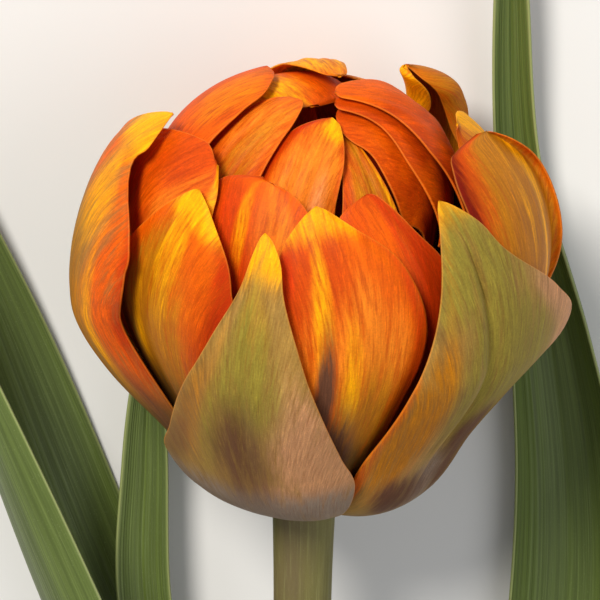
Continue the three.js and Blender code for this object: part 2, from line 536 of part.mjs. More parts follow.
// Stamens in a ring round the pistil
function stamen(number) {
  const around = 2 * Math.PI * (number + 0.5) / STAMEN_COUNT;
  const outward = new THREE.Vector3(Math.cos(around), Math.sin(around), 0);
  const sides = 8;
  const ring = (height, lean, radius) => Array.from({ length: sides }, (_, k) => {
    const angle = 2 * Math.PI * k / sides;
    return outward.clone().multiplyScalar(STAMEN_RING_RADIUS + lean)
      .add(new THREE.Vector3(radius * Math.cos(angle), radius * Math.sin(angle), PISTIL_FOOT + height));
  });
  const antherFoot = FILAMENT_LENGTH;
  return ringBody([
    ring(0, 0, FILAMENT_RADIUS),
    ring(antherFoot, 1.4, 0.8 * FILAMENT_RADIUS),
    ring(antherFoot + 0.3, 1.45, 0.8 * ANTHER_RADIUS),
    ring(antherFoot + 0.35 * ANTHER_LENGTH, 1.8, ANTHER_RADIUS),
    ring(antherFoot + 0.8 * ANTHER_LENGTH, 2.2, 0.85 * ANTHER_RADIUS),
    ring(antherFoot + ANTHER_LENGTH, 2.35, 0.4 * ANTHER_RADIUS),
  ]);
}
for (let number = 0; number < STAMEN_COUNT; number += 1) {
  addMesh(heart, `stamen_${number + 1}`, stamen(number), 0x4a3320, 0.7);
}

// Stem: from the cut end up to the receptacle that carries the petals
const bloomFoot = laid(new THREE.Vector3(0, 0, -BLOOM_DEPTH_BELOW));
const stemCourse = [...STEM_COURSE, [1, bloomFoot.x - 0.1, bloomFoot.y - 1.2, bloomFoot.z - 0.1]];
const stemAxis = (s) => new THREE.Vector3(
  through(stemCourse, s, 1), through(stemCourse, s, 2), through(stemCourse, s, 3));
function stemRing(centre, along, radius) {
  const right = new THREE.Vector3(1, 0, 0);
  const up = right.clone().cross(along).normalize();
  const side = along.clone().cross(up).normalize();
  return Array.from({ length: STEM_SIDES }, (_, k) => {
    const angle = 2 * Math.PI * (k + 0.5) / STEM_SIDES;
    return centre.clone().addScaledVector(side, radius * Math.cos(angle))
      .addScaledVector(up, -radius * Math.sin(angle));
  });
}
const stemRings = [];
for (let i = 0; i <= STEM_STEPS; i += 1) {
  const s = i / STEM_STEPS;
  const along = stemAxis(Math.min(1, s + 0.01)).sub(stemAxis(Math.max(0, s - 0.01))).normalize();
  const swell = STEM_SWELL * Math.max(0, (s - STEM_SWELL_START) / (1 - STEM_SWELL_START)) ** 2;
  stemRings.push(stemRing(stemAxis(s), along, STEM_RADIUS + swell));
}
const bloomAxisAt = (height) => laid(new THREE.Vector3(0, 0, height));
const bloomAxis = bloomAxisAt(1).sub(bloomAxisAt(0));
const receptacle = [
  [RECEPTACLE_FOOT, RECEPTACLE_RADIUS],
  [RECEPTACLE_WAIST, RECEPTACLE_RADIUS],
  [RECEPTACLE_TOP - RECEPTACLE_ROUNDING, RECEPTACLE_RADIUS],
  [RECEPTACLE_TOP, RECEPTACLE_RADIUS - RECEPTACLE_ROUNDING],
];
for (const [height, radius] of receptacle) {
  stemRings.push(stemRing(bloomAxisAt(height), bloomAxis, radius));
}
addMesh(stalk, 'stem', ringBody(stemRings), 0x7f8a4a, 0.55);

// Leaves. hug: where the foot starts and stops clasping the stem, along Y. midrib: [x, y, z] beyond it.
// width: [way up, half-width at left, at right]; cup: [way up, half-angle of the channel];
// facing: [way up, direction the channel opens, 0 straight up, 90 to the right].
const leaves = {
  leaf_right: {
    hug: [-198, -178],
    midrib: [[14, -150, 5.6], [26, -118, 2.4], [35, -86, 0.9], [38.4, -55, 0.6], [37.8, -36, 0.7],
      [34.8, -14, 1.4], [29.6, 13, 3.2], [28.3, 35, 5.8], [28.2, 59, 9]],
    width: [[0, 7.4, 7.4], [0.08, 8.4, 8.4], [0.2, 12.5, 12.5], [0.35, 14, 14], [0.5, 10.6, 13],
      [0.6, 9.4, 12], [0.7, 7.6, 9.4], [0.8, 4.8, 5], [0.9, 3.2, 3.2], [1, 0.5, 0.5]],
    cup: [[0, 88], [0.08, 86], [0.2, 62], [0.35, 56], [0.5, 64], [0.66, 76], [0.78, 86], [0.9, 74],
      [1, 25]],
    facing: [[0, -60], [0.08, -60], [0.2, -30], [0.35, -10], [0.6, -4], [1, 0]],
    colour: 0x5f7d2c,
  },
  leaf_left: {
    hug: [-166, -150],
    midrib: [[-9.5, -128, 10.4], [-19.5, -98, 9.8], [-30, -68, 9.4], [-38.6, -44, 9.4], [-47, -17, 9.6],
      [-54.5, 10, 9], [-59, 34, 7.8]],
    width: [[0, 7.5, 6.2], [0.08, 8.8, 7.2], [0.2, 13.4, 11], [0.4, 18.5, 15], [0.6, 20.5, 16.5],
      [0.75, 16, 14], [0.9, 7.5, 7.5], [1, 0.5, 0.5]],
    cup: [[0, 80], [0.08, 84], [0.2, 86], [0.4, 86], [0.6, 86], [0.75, 80], [0.9, 62], [1, 25]],
    facing: [[0, 78], [0.2, 78], [0.4, 74], [0.75, 70], [1, 60]],
    colour: 0x5a7832,
  },
  leaf_middle: {
    hug: [-134, -118],
    midrib: [[-9.5, -99, 11], [-18.4, -76, 9.2], [-23.3, -53, 7.9], [-22.9, -32, 7], [-21.4, -8, 6.8]],
    width: [[0, 7.4, 7.4], [0.12, 7.6, 7.6], [0.3, 6.4, 6.4], [0.5, 4.6, 4.6], [0.75, 4, 4],
      [0.9, 2.6, 2.6], [1, 0.5, 0.5]],
    cup: [[0, 88], [0.12, 84], [0.3, 60], [0.5, 50], [0.75, 44], [1, 30]],
    facing: [[0, 40], [0.12, 40], [0.3, 24], [0.6, 12], [1, 8]],
    colour: 0x67883a,
  },
};

// Point of the stem's middle line at a place along Y
function stemAt(y) {
  let low = 0;
  let high = 1;
  for (let i = 0; i < 40; i += 1) {
    const middle = (low + high) / 2;
    if (stemAxis(middle).y < y) low = middle;
    else high = middle;
  }
  return stemAxis(low);
}

function midribKnots(leaf) {
  const clasp = STEM_RADIUS + LEAF_SEAT_CLEARANCE + LEAF_THICKNESS / 2;
  const [start, stop] = leaf.hug;
  const towards = radians(leaf.facing[0][1]);
  const offset = new THREE.Vector3(-clasp * Math.sin(towards), 0, -clasp * Math.cos(towards));
  const held = [0, 1 / 3, 2 / 3, 1].map((part) => stemAt(start + (stop - start) * part).add(offset));
  const points = [...held, ...leaf.midrib.map((point) => new THREE.Vector3(...point))];
  let travelled = 0;
  const knots = points.map((point, i) => {
    if (i > 0) travelled += point.distanceTo(points[i - 1]);
    return [travelled, point.x, point.y, point.z];
  });
  for (const knot of knots) knot[0] /= travelled;
  return knots;
}

function leafSurface(leaf) {
  const knots = midribKnots(leaf);
  const midribAt = (s) => new THREE.Vector3(...[1, 2, 3].map((axis) => through(knots, s, axis)));
  const step = 1e-3;
  return (s, u) => {
    const onward = midribAt(Math.min(1, s + step)).sub(midribAt(Math.max(0, s - step))).normalize();
    const right = onward.clone().cross(new THREE.Vector3(0, 0, 1)).normalize();
    const up = right.clone().cross(onward).normalize();
    const facing = radians(through(leaf.facing, s, 1));
    const opening = up.clone().multiplyScalar(Math.cos(facing)).addScaledVector(right, Math.sin(facing));
    const sideways = right.multiplyScalar(Math.cos(facing)).addScaledVector(up, -Math.sin(facing));
    const halfWidth = Math.max(0.3, through(leaf.width, s, u < 0 ? 1 : 2));
    const cup = radians(through(leaf.cup, s, 1));
    const middleWidth = (through(leaf.width, s, 1) + through(leaf.width, s, 2)) / 2;
    const bend = cup * halfWidth / middleWidth;
    const point = midribAt(s).addScaledVector(sideways, middleWidth / cup * Math.sin(bend * u))
      .addScaledVector(opening, middleWidth / cup * (1 - Math.cos(bend * u)));
    point.z = Math.max(point.z, LEAF_THICKNESS / 2);
    return point;
  };
}
for (const [name, leaf] of Object.entries(leaves)) {
  const rows = rowsThrough(leaf.width, LEAF_ROW_STEP);
  const geometry = blade(leafSurface(leaf), rows, LEAF_COLUMNS, LEAF_THICKNESS);
  addMesh(stalk, name, geometry, leaf.colour, 0.5);
}

export default double_tulip;
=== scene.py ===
import math

import bmesh
import bpy
import numpy as np
from mathutils import Matrix, Vector


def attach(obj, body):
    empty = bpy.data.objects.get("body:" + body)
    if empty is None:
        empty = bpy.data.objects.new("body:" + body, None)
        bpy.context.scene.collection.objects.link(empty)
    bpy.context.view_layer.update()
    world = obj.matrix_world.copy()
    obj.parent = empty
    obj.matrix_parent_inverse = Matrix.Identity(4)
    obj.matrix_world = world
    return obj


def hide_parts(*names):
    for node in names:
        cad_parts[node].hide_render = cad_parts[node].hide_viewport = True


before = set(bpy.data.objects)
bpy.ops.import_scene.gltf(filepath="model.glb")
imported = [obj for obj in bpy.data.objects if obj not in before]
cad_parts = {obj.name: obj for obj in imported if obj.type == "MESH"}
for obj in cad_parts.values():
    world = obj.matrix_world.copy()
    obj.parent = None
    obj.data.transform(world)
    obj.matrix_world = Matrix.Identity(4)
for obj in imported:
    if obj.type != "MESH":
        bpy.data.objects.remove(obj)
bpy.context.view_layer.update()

MM = 0.001

# Form of the bloom, as in the CAD source
BLOOM_RADIUS = 31.0
BLOOM_DEPTH_BELOW = 30.3
BLOOM_HEIGHT_ABOVE = 34.1
LAYER_RADIUS_STEP = 2.15
LAYER_CENTRE_STEP = 2.1
LAYER_BASE_STEP = 1.3
LAYER_TOP_STEP = 0.8
SHOULDER_SWELL = 0.16
SHOULDER_LAYERS = 5
WAIST_PINCH = 0.13
BLOOM_LEAN = 3.5
BLOOM_TILT = 5
BLOOM_CENTRE_HEIGHT = 28.7
REST_SPOT = (2.8, 6.4)
PETAL_THICKNESS = 0.62
LEAF_THICKNESS = 0.9
STEM_RADIUS = 4.0
RECEPTACLE_RADIUS = 4.5
RECEPTACLE_TOP = -17.8
RECEPTACLE_FOOT = -29
RECEPTACLE_WAIST = -24
RECEPTACLE_ROUNDING = 0.5
SEAT_GAP = 0.3
PETAL_SEAT_CLEARANCE = SEAT_GAP + 0.2
LEAF_SEAT_CLEARANCE = SEAT_GAP + 0.15
STEM_COURSE = [
    [0, 3, -226, 4],
    [0.25, 3.6, -176, 8.6],
    [0.5, 2.2, -128, 14.2],
    [0.75, -0.2, -78, 20.6],
]
STEM_SWELL = 0.35
STEM_SWELL_START = 0.9
PISTIL_FOOT = RECEPTACLE_TOP + SEAT_GAP
PISTIL_LENGTH = 17
OVARY_RADIUS = 2.5
STIGMA_RADIUS = 3.3
STAMEN_COUNT = 6
STAMEN_RING_RADIUS = 3.5
FILAMENT_RADIUS = 0.55
FILAMENT_LENGTH = 6.5
ANTHER_RADIUS = 0.95
ANTHER_LENGTH = 6.5

# Camera: straight in front of a standing bloom, so above this lying one. Its distance and the places
# and sizes of the lights and the floor are in metres.
CAMERA_TILT = 17
CAMERA_DISTANCE = 0.42
CAMERA_LENS = 189
CAMERA_SHIFT = (-0.0075, -0.01667)
CAMERA_SENSOR = 36

# Lights: place, diameter and power
KEY_LIGHT = ((-0.35, 0.6, 0.8), 0.35, 11.0)
FILL_LIGHT = ((0.6, 0.0, 0.8), 0.8, 2.4)
SKY_STRENGTH = 0.33
FLOOR_REACH = 2

# A petal's or leaf's tip is rounded over its last stretch
TIP_ROUNDING_START = 0.985
LEAST_PETAL_HALF_WIDTH = 0.2
LEAST_LEAF_HALF_WIDTH = 0.3
LEAF_FLOOR_GAP = 0.02

# Blades grow thinner towards margin and tip by these shares
PETAL_MARGIN_THINNING = 0.62
PETAL_TIP_THINNING = 0.4
LEAF_MARGIN_THINNING = 0.6
LEAF_TIP_THINNING = 0.5

# Low relief on the blades: heights, the margins' wave and how often it turns, the fold of a turned margin
PETAL_VEIN_HEIGHT = 0.05
PETAL_FOLD_HEIGHT = 0.2
PETAL_WAVE = (0.12, 4)
PETAL_TURNBACK_ANGLE = 140
LEAF_VEIN_HEIGHT = 0.1
LEAF_KEEL_DEPTH = 0.25
LEAF_KEEL_BREADTH = 0.06

# Fineness of the grids
PETAL_GRID = (84, 72)
HIDDEN_GRID = (56, 40)
LEAF_ROWS = 260
LEAF_COLUMNS = 84
ROW_CROWDING = 1.2
STEM_STEPS = 150
STEM_SIDES = 56
PISTIL_STEPS = 40
PISTIL_SIDES = 48
STAMEN_SIDES = 20

# Small steps along and across a blade, for its directions
COURSE_STEP = 1e-3
GRID_STEP = 1e-4

# One wave, and the range of the waves' phases, in radians
FULL_CIRCLE = 6.283
LARGEST_PHASE = 6.28

# Petals. course: azimuth at the foot, then [azimuth, rise] up to the tip, in degrees.
# spread: [way up, left half-width, right half-width]. layer: [way up, left, midrib, right].
# curl: [way up, half-angle of the petal's own roll, turn of that roll], in degrees.
# A row that stops short repeats its last number.
PETALS = {
    # outermost, greenish
    "guard_front": {
        "course": [-108, [-110, 60], [-106, 122]],
        "spread": [[0, 2.4], [0.12, 10], [0.3, 16.6, 15.2], [0.47, 13.2, 13.8], [0.58, 10.5, 12.2],
            [0.7, 7.3, 9.8], [0.8, 4.2, 7], [0.9, 1.4, 3.8], [0.96, 0.8, 2.4], [1, 0.3, 0.5]],
        "layer": [[0, 0], [0.15, -0.5, -0.3, 0], [0.3, -0.4, -0.3, 0.1], [0.5, 0.1, -0.1, 0.1], [0.8, 0],
            [1, 0.1]],
    },
    "guard_right": {
        "course": [-50, [-42, 55], [-45, 90], [-59, 130]],
        "spread": [[0, 2.4], [0.2, 11.1, 10.6], [0.35, 13.6, 13.4], [0.5, 13.6, 16.2], [0.58, 12.9, 18.6],
            [0.64, 12, 21], [0.73, 9.8, 14.5], [0.87, 5.4, 4.9], [0.93, 3.2, 3.3], [1, 0.3]],
        "layer": [[0, 0.6, 0.3, 0.2], [0.2, 0.8, -0.5, -0.4], [0.4, 0.5, 0.2, 0.6], [0.52, 0.35, 0.2, 0.3],
            [0.64, 0.3, 0, -1], [0.74, 0.2, 0, -0.5], [0.85, 0.1, 0, -0.1], [1, 0]],
    },
    "guard_left": {
        "course": [-176, [-178, 60], [-180, 95], [-164, 139]],
        "spread": [[0, 2.4], [0.2, 8, 9], [0.4, 12, 13.2], [0.52, 13, 14.8], [0.63, 13, 17.2],
            [0.77, 11.6, 17], [0.84, 9.4, 15.2], [0.875, 7.8, 11.5], [0.9, 6.2, 5.2], [0.95, 3.2, 3.8],
            [1, 0.3]],
        "layer": [[0, 0.1, 0.6, 1], [0.12, 0, 0.5, 1.2], [0.25, 0, 0.4, 1.35], [0.45, -0.4, -0.5, 1.2],
            [0.6, -0.6, -0.8, 0.75], [0.8, -0.2, -0.2, 0.55], [1, 0.8]],
    },
    "guard_back_left": {
        "course": [138, [136, 60], [134, 95], [130, 116]],
        "spread": [[0, 2.4], [0.2, 9], [0.4, 13.5], [0.6, 14], [0.8, 9], [0.92, 4], [1, 0.3]],
        "layer": [[0, 0.3, 0.6, 1], [0.15, 0.3, 0.5, 1], [0.3, 0.4, 0.2, 0.9], [0.5, 0.4, 0.1, 0.6],
            [0.8, 0.4, 0.2, 0.6], [1, 0.6]],
    },
    "guard_back": {
        "course": [80, [82, 60], [84, 95], [90, 126]],
        "spread": [[0, 2.4], [0.2, 9], [0.4, 14], [0.6, 14.5], [0.8, 9.5], [0.92, 4], [1, 0.3]],
        "layer": [[0, 0.9, 0.9, 1.2], [0.3, 0.6, 0.6, 1.2], [0.5, 0.6, 0.6, 1.3], [0.8, 0.6, 0.7, 1.2],
            [0.92, 0.7, 0.8, 1], [1, 0.8]],
    },
    "guard_back_right": {
        "course": [28, [26, 60], [24, 95], [22, 122]],
        "spread": [[0, 2.4], [0.2, 9], [0.4, 13.5], [0.6, 13.5], [0.8, 8.5], [0.92, 4], [1, 0.3]],
        "layer": [[0, 0.1], [0.3, 0.1, 0, -0.1], [0.5, 0.1, 0, -0.1], [0.8, 0.2, 0.1], [1, 0.3]],
    },
    # next ring, orange
    "outer_centre": {
        "course": [-86, [-84, 60], [-84, 95], [-94, 127]],
        "spread": [[0, 2.2], [0.2, 8], [0.4, 11, 8], [0.56, 12, 8.8], [0.71, 11, 10.8], [0.8, 9.2, 9.6],
            [0.88, 6.8, 7.2], [0.94, 5.2, 3.6], [1, 0.6, 0.4]],
        "layer": [[0, 1.5], [0.2, 1.5, 1.4, 1.6], [0.5, 1.3, 0.9, 1.3], [0.8, 1.2, 1, 1.1], [1, 1.2]],
    },
    "outer_left": {
        "course": [-150, [-148, 60], [-143, 95], [-134, 123]],
        "spread": [[0, 2.2], [0.2, 8.2, 8], [0.4, 14, 12], [0.6, 12.4, 13.5], [0.74, 8.6, 13.4],
            [0.84, 5.2, 12], [0.93, 2.6, 8.4], [1, 0.4, 1.2]],
        "layer": [[0, 2], [0.1, 1.5, 1.9, 2], [0.2, 1.2, 1.9, 2], [0.4, 1.2, 1.9, 2.1],
            [0.6, 1.5, 1.9, 2.2], [0.8, 1.9, 2, 2.2], [1, 2]],
    },
    "outer_far_left": {
        "course": [-166, [-166, 60], [-162, 100], [-136, 129]],
        "spread": [[0, 2], [0.2, 7], [0.4, 10], [0.6, 10.5, 12], [0.7, 15, 12], [0.8, 13.2, 11.5],
            [0.88, 10], [0.95, 6, 8], [1, 2.6, 3.4]],
        "layer": [[0, 3], [0.5, 2.9, 2.9, 3.1], [0.7, 1.3, 2.6, 3.2], [0.85, 1.5, 2.4, 3],
            [1, 2.8, 2.9, 3.1]],
    },
    "outer_mid_left": {
        "course": [-120, [-118, 60], [-114, 100], [-114, 126]],
        "spread": [[0, 2], [0.2, 6.5], [0.4, 9.5], [0.6, 10.5], [0.8, 10, 9.5], [0.92, 9, 7],
            [0.97, 7.6, 4.6], [1, 5, 1.8]],
        "layer": [[0, 3.5], [0.5, 3.9, 3.5], [0.8, 4, 3.5, 3.4], [1, 4, 3.6, 3.5]],
    },
    "outer_mid_right": {
        "course": [-60, [-60, 60], [-63, 95], [-78, 128]],
        "spread": [[0, 2.2], [0.2, 7], [0.4, 10, 8.5], [0.6, 10.5, 7], [0.72, 10, 6], [0.8, 9.2, 5.2],
            [0.88, 8, 3.2], [0.95, 6.4, 1.9], [1, 3.6, 0.8]],
        "layer": [[0, 2.1], [0.5, 2.3, 2, 2.1], [0.8, 2.2, 2, 2.1], [1, 2.3]],
    },
    "outer_right": {
        "course": [-25, [-22, 60], [-20, 110], [-16, 139]],
        "spread": [[0, 2.2], [0.2, 7], [0.4, 10, 11], [0.6, 11.5, 12], [0.74, 11.8, 11.6],
            [0.85, 11.8, 10.8], [0.94, 11.2, 7.4], [1, 9.2, 0.8]],
        "layer": [[0, 1.1], [0.5, 1.3, 1, 0.9], [0.8, 1.3, 0.7, 0.3], [1, 1.3, 1, 0.6]],
    },
    "outer_far_right": {
        "course": [4, [4, 60], [0, 110], [-14, 139.5]],
        "spread": [[0, 2.2], [0.2, 7, 6.5], [0.4, 10, 7.5], [0.6, 11, 7.4], [0.8, 13, 9], [0.88, 13, 9],
            [0.94, 10.6, 7], [1, 5, 3]],
        "layer": [[0, 2.1], [0.5, 2.2, 1.8, 2.2], [0.8, 2.8, 2.2, 2.4], [1, 3.1, 2.9]],
    },
    "outer_hooded": {
        "course": [52, [53, 60], [58, 110], [51.5, 147]],
        "spread": [[0, 2.2], [0.2, 7], [0.4, 10, 8.4], [0.6, 11.2, 10], [0.8, 10.8], [0.9, 10.6], [0.96, 9],
            [1, 4]],
        "layer": [[0, 1.5], [0.25, 1.4, 1.3, 1.4], [0.5, 1.3, 1.2, 1.3], [0.7, 1.2, 1.1, 1.2], [0.82, 0.7],
            [0.9, 0.5], [0.96, 0.7], [1, 1.7]],
        "curl": [[0, 0, 0], [0.44, 0, 0], [0.5, 4, 1], [0.7, 80, 26], [0.82, 150, 42], [1, 165, 46]],
    },
    "outer_back_right": {
        "course": [84, [86, 60], [90, 100], [91, 131]],
        "spread": [[0, 2.2], [0.2, 5.4, 7], [0.4, 5, 10], [0.6, 3.6, 11.5], [0.8, 2.8, 9.5],
            [0.92, 2.5, 5.5], [1, 1]],
        "layer": [[0, 2.2], [0.5, 2.4, 2.1], [1, 2.3, 2.2]],
    },
    "outer_back": {
        "course": [114, [114, 60], [114, 100], [112, 128]],
        "spread": [[0, 2.2], [0.2, 7], [0.4, 10], [0.6, 11.5], [0.8, 9.5], [0.92, 5.5], [1, 1]],
        "layer": [[0, 3], [0.5, 3.1, 2.9], [1, 3]],
    },
    "outer_back_left": {
        "course": [158, [158, 60], [158, 100], [158, 119]],
        "spread": [[0, 2.2], [0.2, 7, 6.5], [0.4, 10, 7], [0.6, 11.5, 5.5], [0.8, 9, 4.5], [0.92, 5.5, 3.5],
            [1, 1]],
        "layer": [[0, 2], [0.5, 1.9, 1.9, 2.2], [0.7, 2, 2.3, 2.6], [1, 2.5, 2.6, 2.7]],
    },
    # dome of inner petals that close over the middle
    "dome_left": {
        "course": [-176, [-176, 60], [-178, 110], [172, 138], [150, 156]],
        "spread": [[0, 1.9], [0.2, 5.5], [0.4, 7.5, 8], [0.6, 8.5, 9.5], [0.75, 8.5, 10.5], [0.88, 7, 10],
            [0.96, 5, 7.5], [1, 2, 3]],
        "layer": [[0, 4.2], [0.6, 4.1, 3.6, 4.2], [0.8, 3.4, 3, 4], [1, 3.6, 3.6, 4.2]],
    },
    "dome_back_left": {
        "course": [140, [140, 60], [140, 110], [148, 146], [-118, 160]],
        "spread": [[0, 1.9], [0.2, 5.5], [0.4, 7.5, 8], [0.6, 8, 9], [0.72, 8.2, 9], [0.8, 8.6, 8.4],
            [0.88, 9.4, 7], [0.94, 8, 5], [1, 4, 2]],
        "layer": [[0, 5], [0.6, 5, 4.9, 5], [0.74, 5], [0.88, 7.6, 6, 6.2], [1, 8.2, 7.6, 7.2]],
    },
    "dome_front_left": {
        "course": [-150, [-148, 60], [-142, 115], [-122, 158]],
        "spread": [[0, 1.7], [0.2, 4.5], [0.5, 6], [0.7, 6.2], [0.8, 6, 5.2], [0.88, 5.6, 4],
            [0.95, 4.5, 2.5], [1, 1.5, 0.6]],
        "layer": [[0, 5.2], [0.6, 5.2], [0.8, 5.5, 5.4, 5.3], [1, 5.8, 5.5, 5.2]],
    },
    "dome_front": {
        "course": [-106, [-106, 60], [-104, 110], [-90, 151]],
        "spread": [[0, 1.7], [0.2, 4.5], [0.5, 6.3], [0.72, 6.6, 5.2], [0.8, 6.2, 4.8], [0.87, 5.2, 4.2],
            [0.94, 3.5, 2.8], [1, 0.4, 0.9]],
        "layer": [[0, 6.2], [0.6, 6.4, 5.8, 6.2], [0.85, 6.6, 5.4, 5.6], [0.94, 6.1, 5.5], [1, 5.6]],
    },
    "dome_front_right": {
        "course": [-70, [-70, 60], [-70, 105], [-83, 145]],
        "spread": [[0, 1.7], [0.2, 4.2], [0.5, 5.2, 5.4], [0.66, 4.8, 3.6], [0.8, 3.2, 2.3],
            [0.9, 1.6, 1.3], [1, 0.3]],
        "layer": [[0, 5.3], [0.6, 5.5], [0.85, 6.6], [0.93, 7.5], [1, 7.7]],
    },
    "dome_inner_right": {
        "course": [-48, [-48, 60], [-52, 110], [-62, 140]],
        "spread": [[0, 1.7], [0.2, 4.5], [0.5, 6.5], [0.75, 6.5, 6], [0.9, 4], [1, 1]],
        "layer": [[0, 7.9], [0.7, 8.2], [1, 8.5]],
    },
    "dome_right_inner": {
        "course": [-10, [-10, 60], [-14, 110], [-44, 144], [-86, 154]],
        "spread": [[0, 1.9], [0.2, 5], [0.4, 7.5, 8], [0.6, 10, 9], [0.7, 10.4, 9], [0.8, 8.4, 9],
            [0.9, 5.2, 6.5], [0.96, 4], [1, 2, 1]],
        "layer": [[0, 7.1], [0.3, 6.6, 7.1, 7.3], [0.45, 6.3, 7.4, 7.7], [0.6, 6.3, 7.5, 7.9],
            [0.78, 6.4, 7.1, 7.3], [0.88, 6.4, 6.6, 6.7], [1, 6.6]],
    },
    "dome_right_mid": {
        "course": [2, [2, 60], [-2, 110], [-32, 145], [-88, 159]],
        "spread": [[0, 1.9], [0.2, 5.5], [0.4, 9.6, 8], [0.54, 12, 9], [0.62, 11.6, 9], [0.7, 10.4, 9],
            [0.8, 7.4, 8], [0.9, 2.6, 6], [1, 1, 1.5]],
        "layer": [[0, 6.4], [0.3, 5.8, 6.4, 6.6], [0.45, 5.3, 6.7, 7.1], [0.6, 5.2, 6.8, 7.4],
            [0.75, 5.2, 6.1, 6.6], [0.88, 5.2, 5.3, 5.5], [1, 5.2]],
    },
    "dome_right_outer": {
        "course": [22, [22, 60], [18, 110], [-16, 148], [-88, 164]],
        "spread": [[0, 1.9], [0.2, 5.5], [0.4, 8, 7], [0.55, 9, 6], [0.6, 10.5, 5.5], [0.64, 14.6, 4.6],
            [0.72, 13, 4.4], [0.8, 8.4, 4.6], [0.9, 3.2, 4.8], [1, 1, 1.5]],
        "layer": [[0, 5.7], [0.3, 5, 5.7, 5.9], [0.45, 4.5, 6, 6.4], [0.6, 4.3, 6.1, 6.7],
            [0.75, 4.3, 5.2, 5.7], [0.88, 4.2, 4.3, 4.5], [1, 4.2]],
    },
    "dome_back_right": {
        "course": [62, [62, 60], [62, 110], [60, 140], [40, 164]],
        "spread": [[0, 1.9], [0.2, 4, 5.5], [0.4, 5.5, 8], [0.6, 6, 9], [0.75, 6, 9], [0.88, 5, 7], [1, 2]],
        "layer": [[0, 5], [0.4, 5.7, 5.6, 5.4], [0.6, 6.3, 6.1, 5.5], [0.8, 6.3, 6.2, 5.7],
            [1, 6.2, 6.1, 6]],
    },
    "dome_back": {
        "course": [104, [104, 60], [104, 110], [104, 145], [-70, 174]],
        "spread": [[0, 1.9], [0.2, 5.5], [0.4, 7.5, 8], [0.55, 6.6, 9], [0.7, 4, 6.6], [0.82, 2.6, 5],
            [0.92, 2.2, 4], [1, 1, 1.5]],
        "layer": [[0, 3.8], [0.5, 3.9, 3.8], [0.65, 4.2, 4, 3.9], [0.8, 4.2, 4, 3.9], [1, 3.9]],
    },
}

# Petals hidden behind others, made with fewer faces
HIDDEN_PETALS = {
    "guard_back_left", "guard_back_right", "outer_far_right", "outer_back_right", "outer_back",
    "outer_back_left", "dome_back_left", "dome_back_right", "dome_back",
}

# Leaves. hug: where the foot starts and stops clasping the stem. midrib: points beyond it.
# width: [way up, left, right]. cup: [way up, half-angle of the channel].
# facing: [way up, direction in which the channel opens].
LEAVES = {
    "leaf_right": {
        "hug": [-198, -178],
        "midrib": [[14, -150, 5.6], [26, -118, 2.4], [35, -86, 0.9], [38.4, -55, 0.6], [37.8, -36, 0.7],
            [34.8, -14, 1.4], [29.6, 13, 3.2], [28.3, 35, 5.8], [28.2, 59, 9]],
        "width": [[0, 7.4], [0.08, 8.4], [0.2, 12.5], [0.35, 14], [0.5, 10.6, 13], [0.6, 9.4, 12],
            [0.7, 7.6, 9.4], [0.8, 4.8, 5], [0.9, 3.2], [1, 0.5]],
        "cup": [[0, 88], [0.08, 86], [0.2, 62], [0.35, 56], [0.5, 64], [0.66, 76], [0.78, 86], [0.9, 74],
            [1, 25]],
        "facing": [[0, -60], [0.08, -60], [0.2, -30], [0.35, -10], [0.6, -4], [1, 0]],
    },
    "leaf_left": {
        "hug": [-166, -150],
        "midrib": [[-9.5, -128, 10.4], [-19.5, -98, 9.8], [-30, -68, 9.4], [-38.6, -44, 9.4],
            [-47, -17, 9.6], [-54.5, 10, 9], [-59, 34, 7.8]],
        "width": [[0, 7.5, 6.2], [0.08, 8.8, 7.2], [0.2, 13.4, 11], [0.4, 18.5, 15], [0.6, 20.5, 16.5],
            [0.75, 16, 14], [0.9, 7.5], [1, 0.5]],
        "cup": [[0, 80], [0.08, 84], [0.2, 86], [0.4, 86], [0.6, 86], [0.75, 80], [0.9, 62], [1, 25]],
        "facing": [[0, 78], [0.2, 78], [0.4, 74], [0.75, 70], [1, 60]],
    },
    "leaf_middle": {
        "hug": [-134, -118],
        "midrib": [[-9.5, -99, 11], [-18.4, -76, 9.2], [-23.3, -53, 7.9], [-22.9, -32, 7],
            [-21.4, -8, 6.8]],
        "width": [[0, 7.4], [0.12, 7.6], [0.3, 6.4], [0.5, 4.6], [0.75, 4], [0.9, 2.6], [1, 0.5]],
        "cup": [[0, 88], [0.12, 84], [0.3, 60], [0.5, 50], [0.75, 44], [1, 30]],
        "facing": [[0, 40], [0.12, 40], [0.3, 24], [0.6, 12], [1, 8]],
    },
}


def filled(rows, width):
    """Rows brought to one width; a short row repeats its last number."""
    return [row + row[-1:] * (width - len(row)) for row in rows]


for petal in PETALS.values():
    petal["spread"] = filled(petal["spread"], 3)
    petal["layer"] = filled(petal["layer"], 4)
for leaf in LEAVES.values():
    leaf["width"] = filled(leaf["width"], 3)


def clamp(value, low, high):
    return np.minimum(high, np.maximum(low, value))


def smoothstep(low, high, value):
    x = clamp((value - low) / (high - low), 0, 1)
    return x * x * (3 - 2 * x)


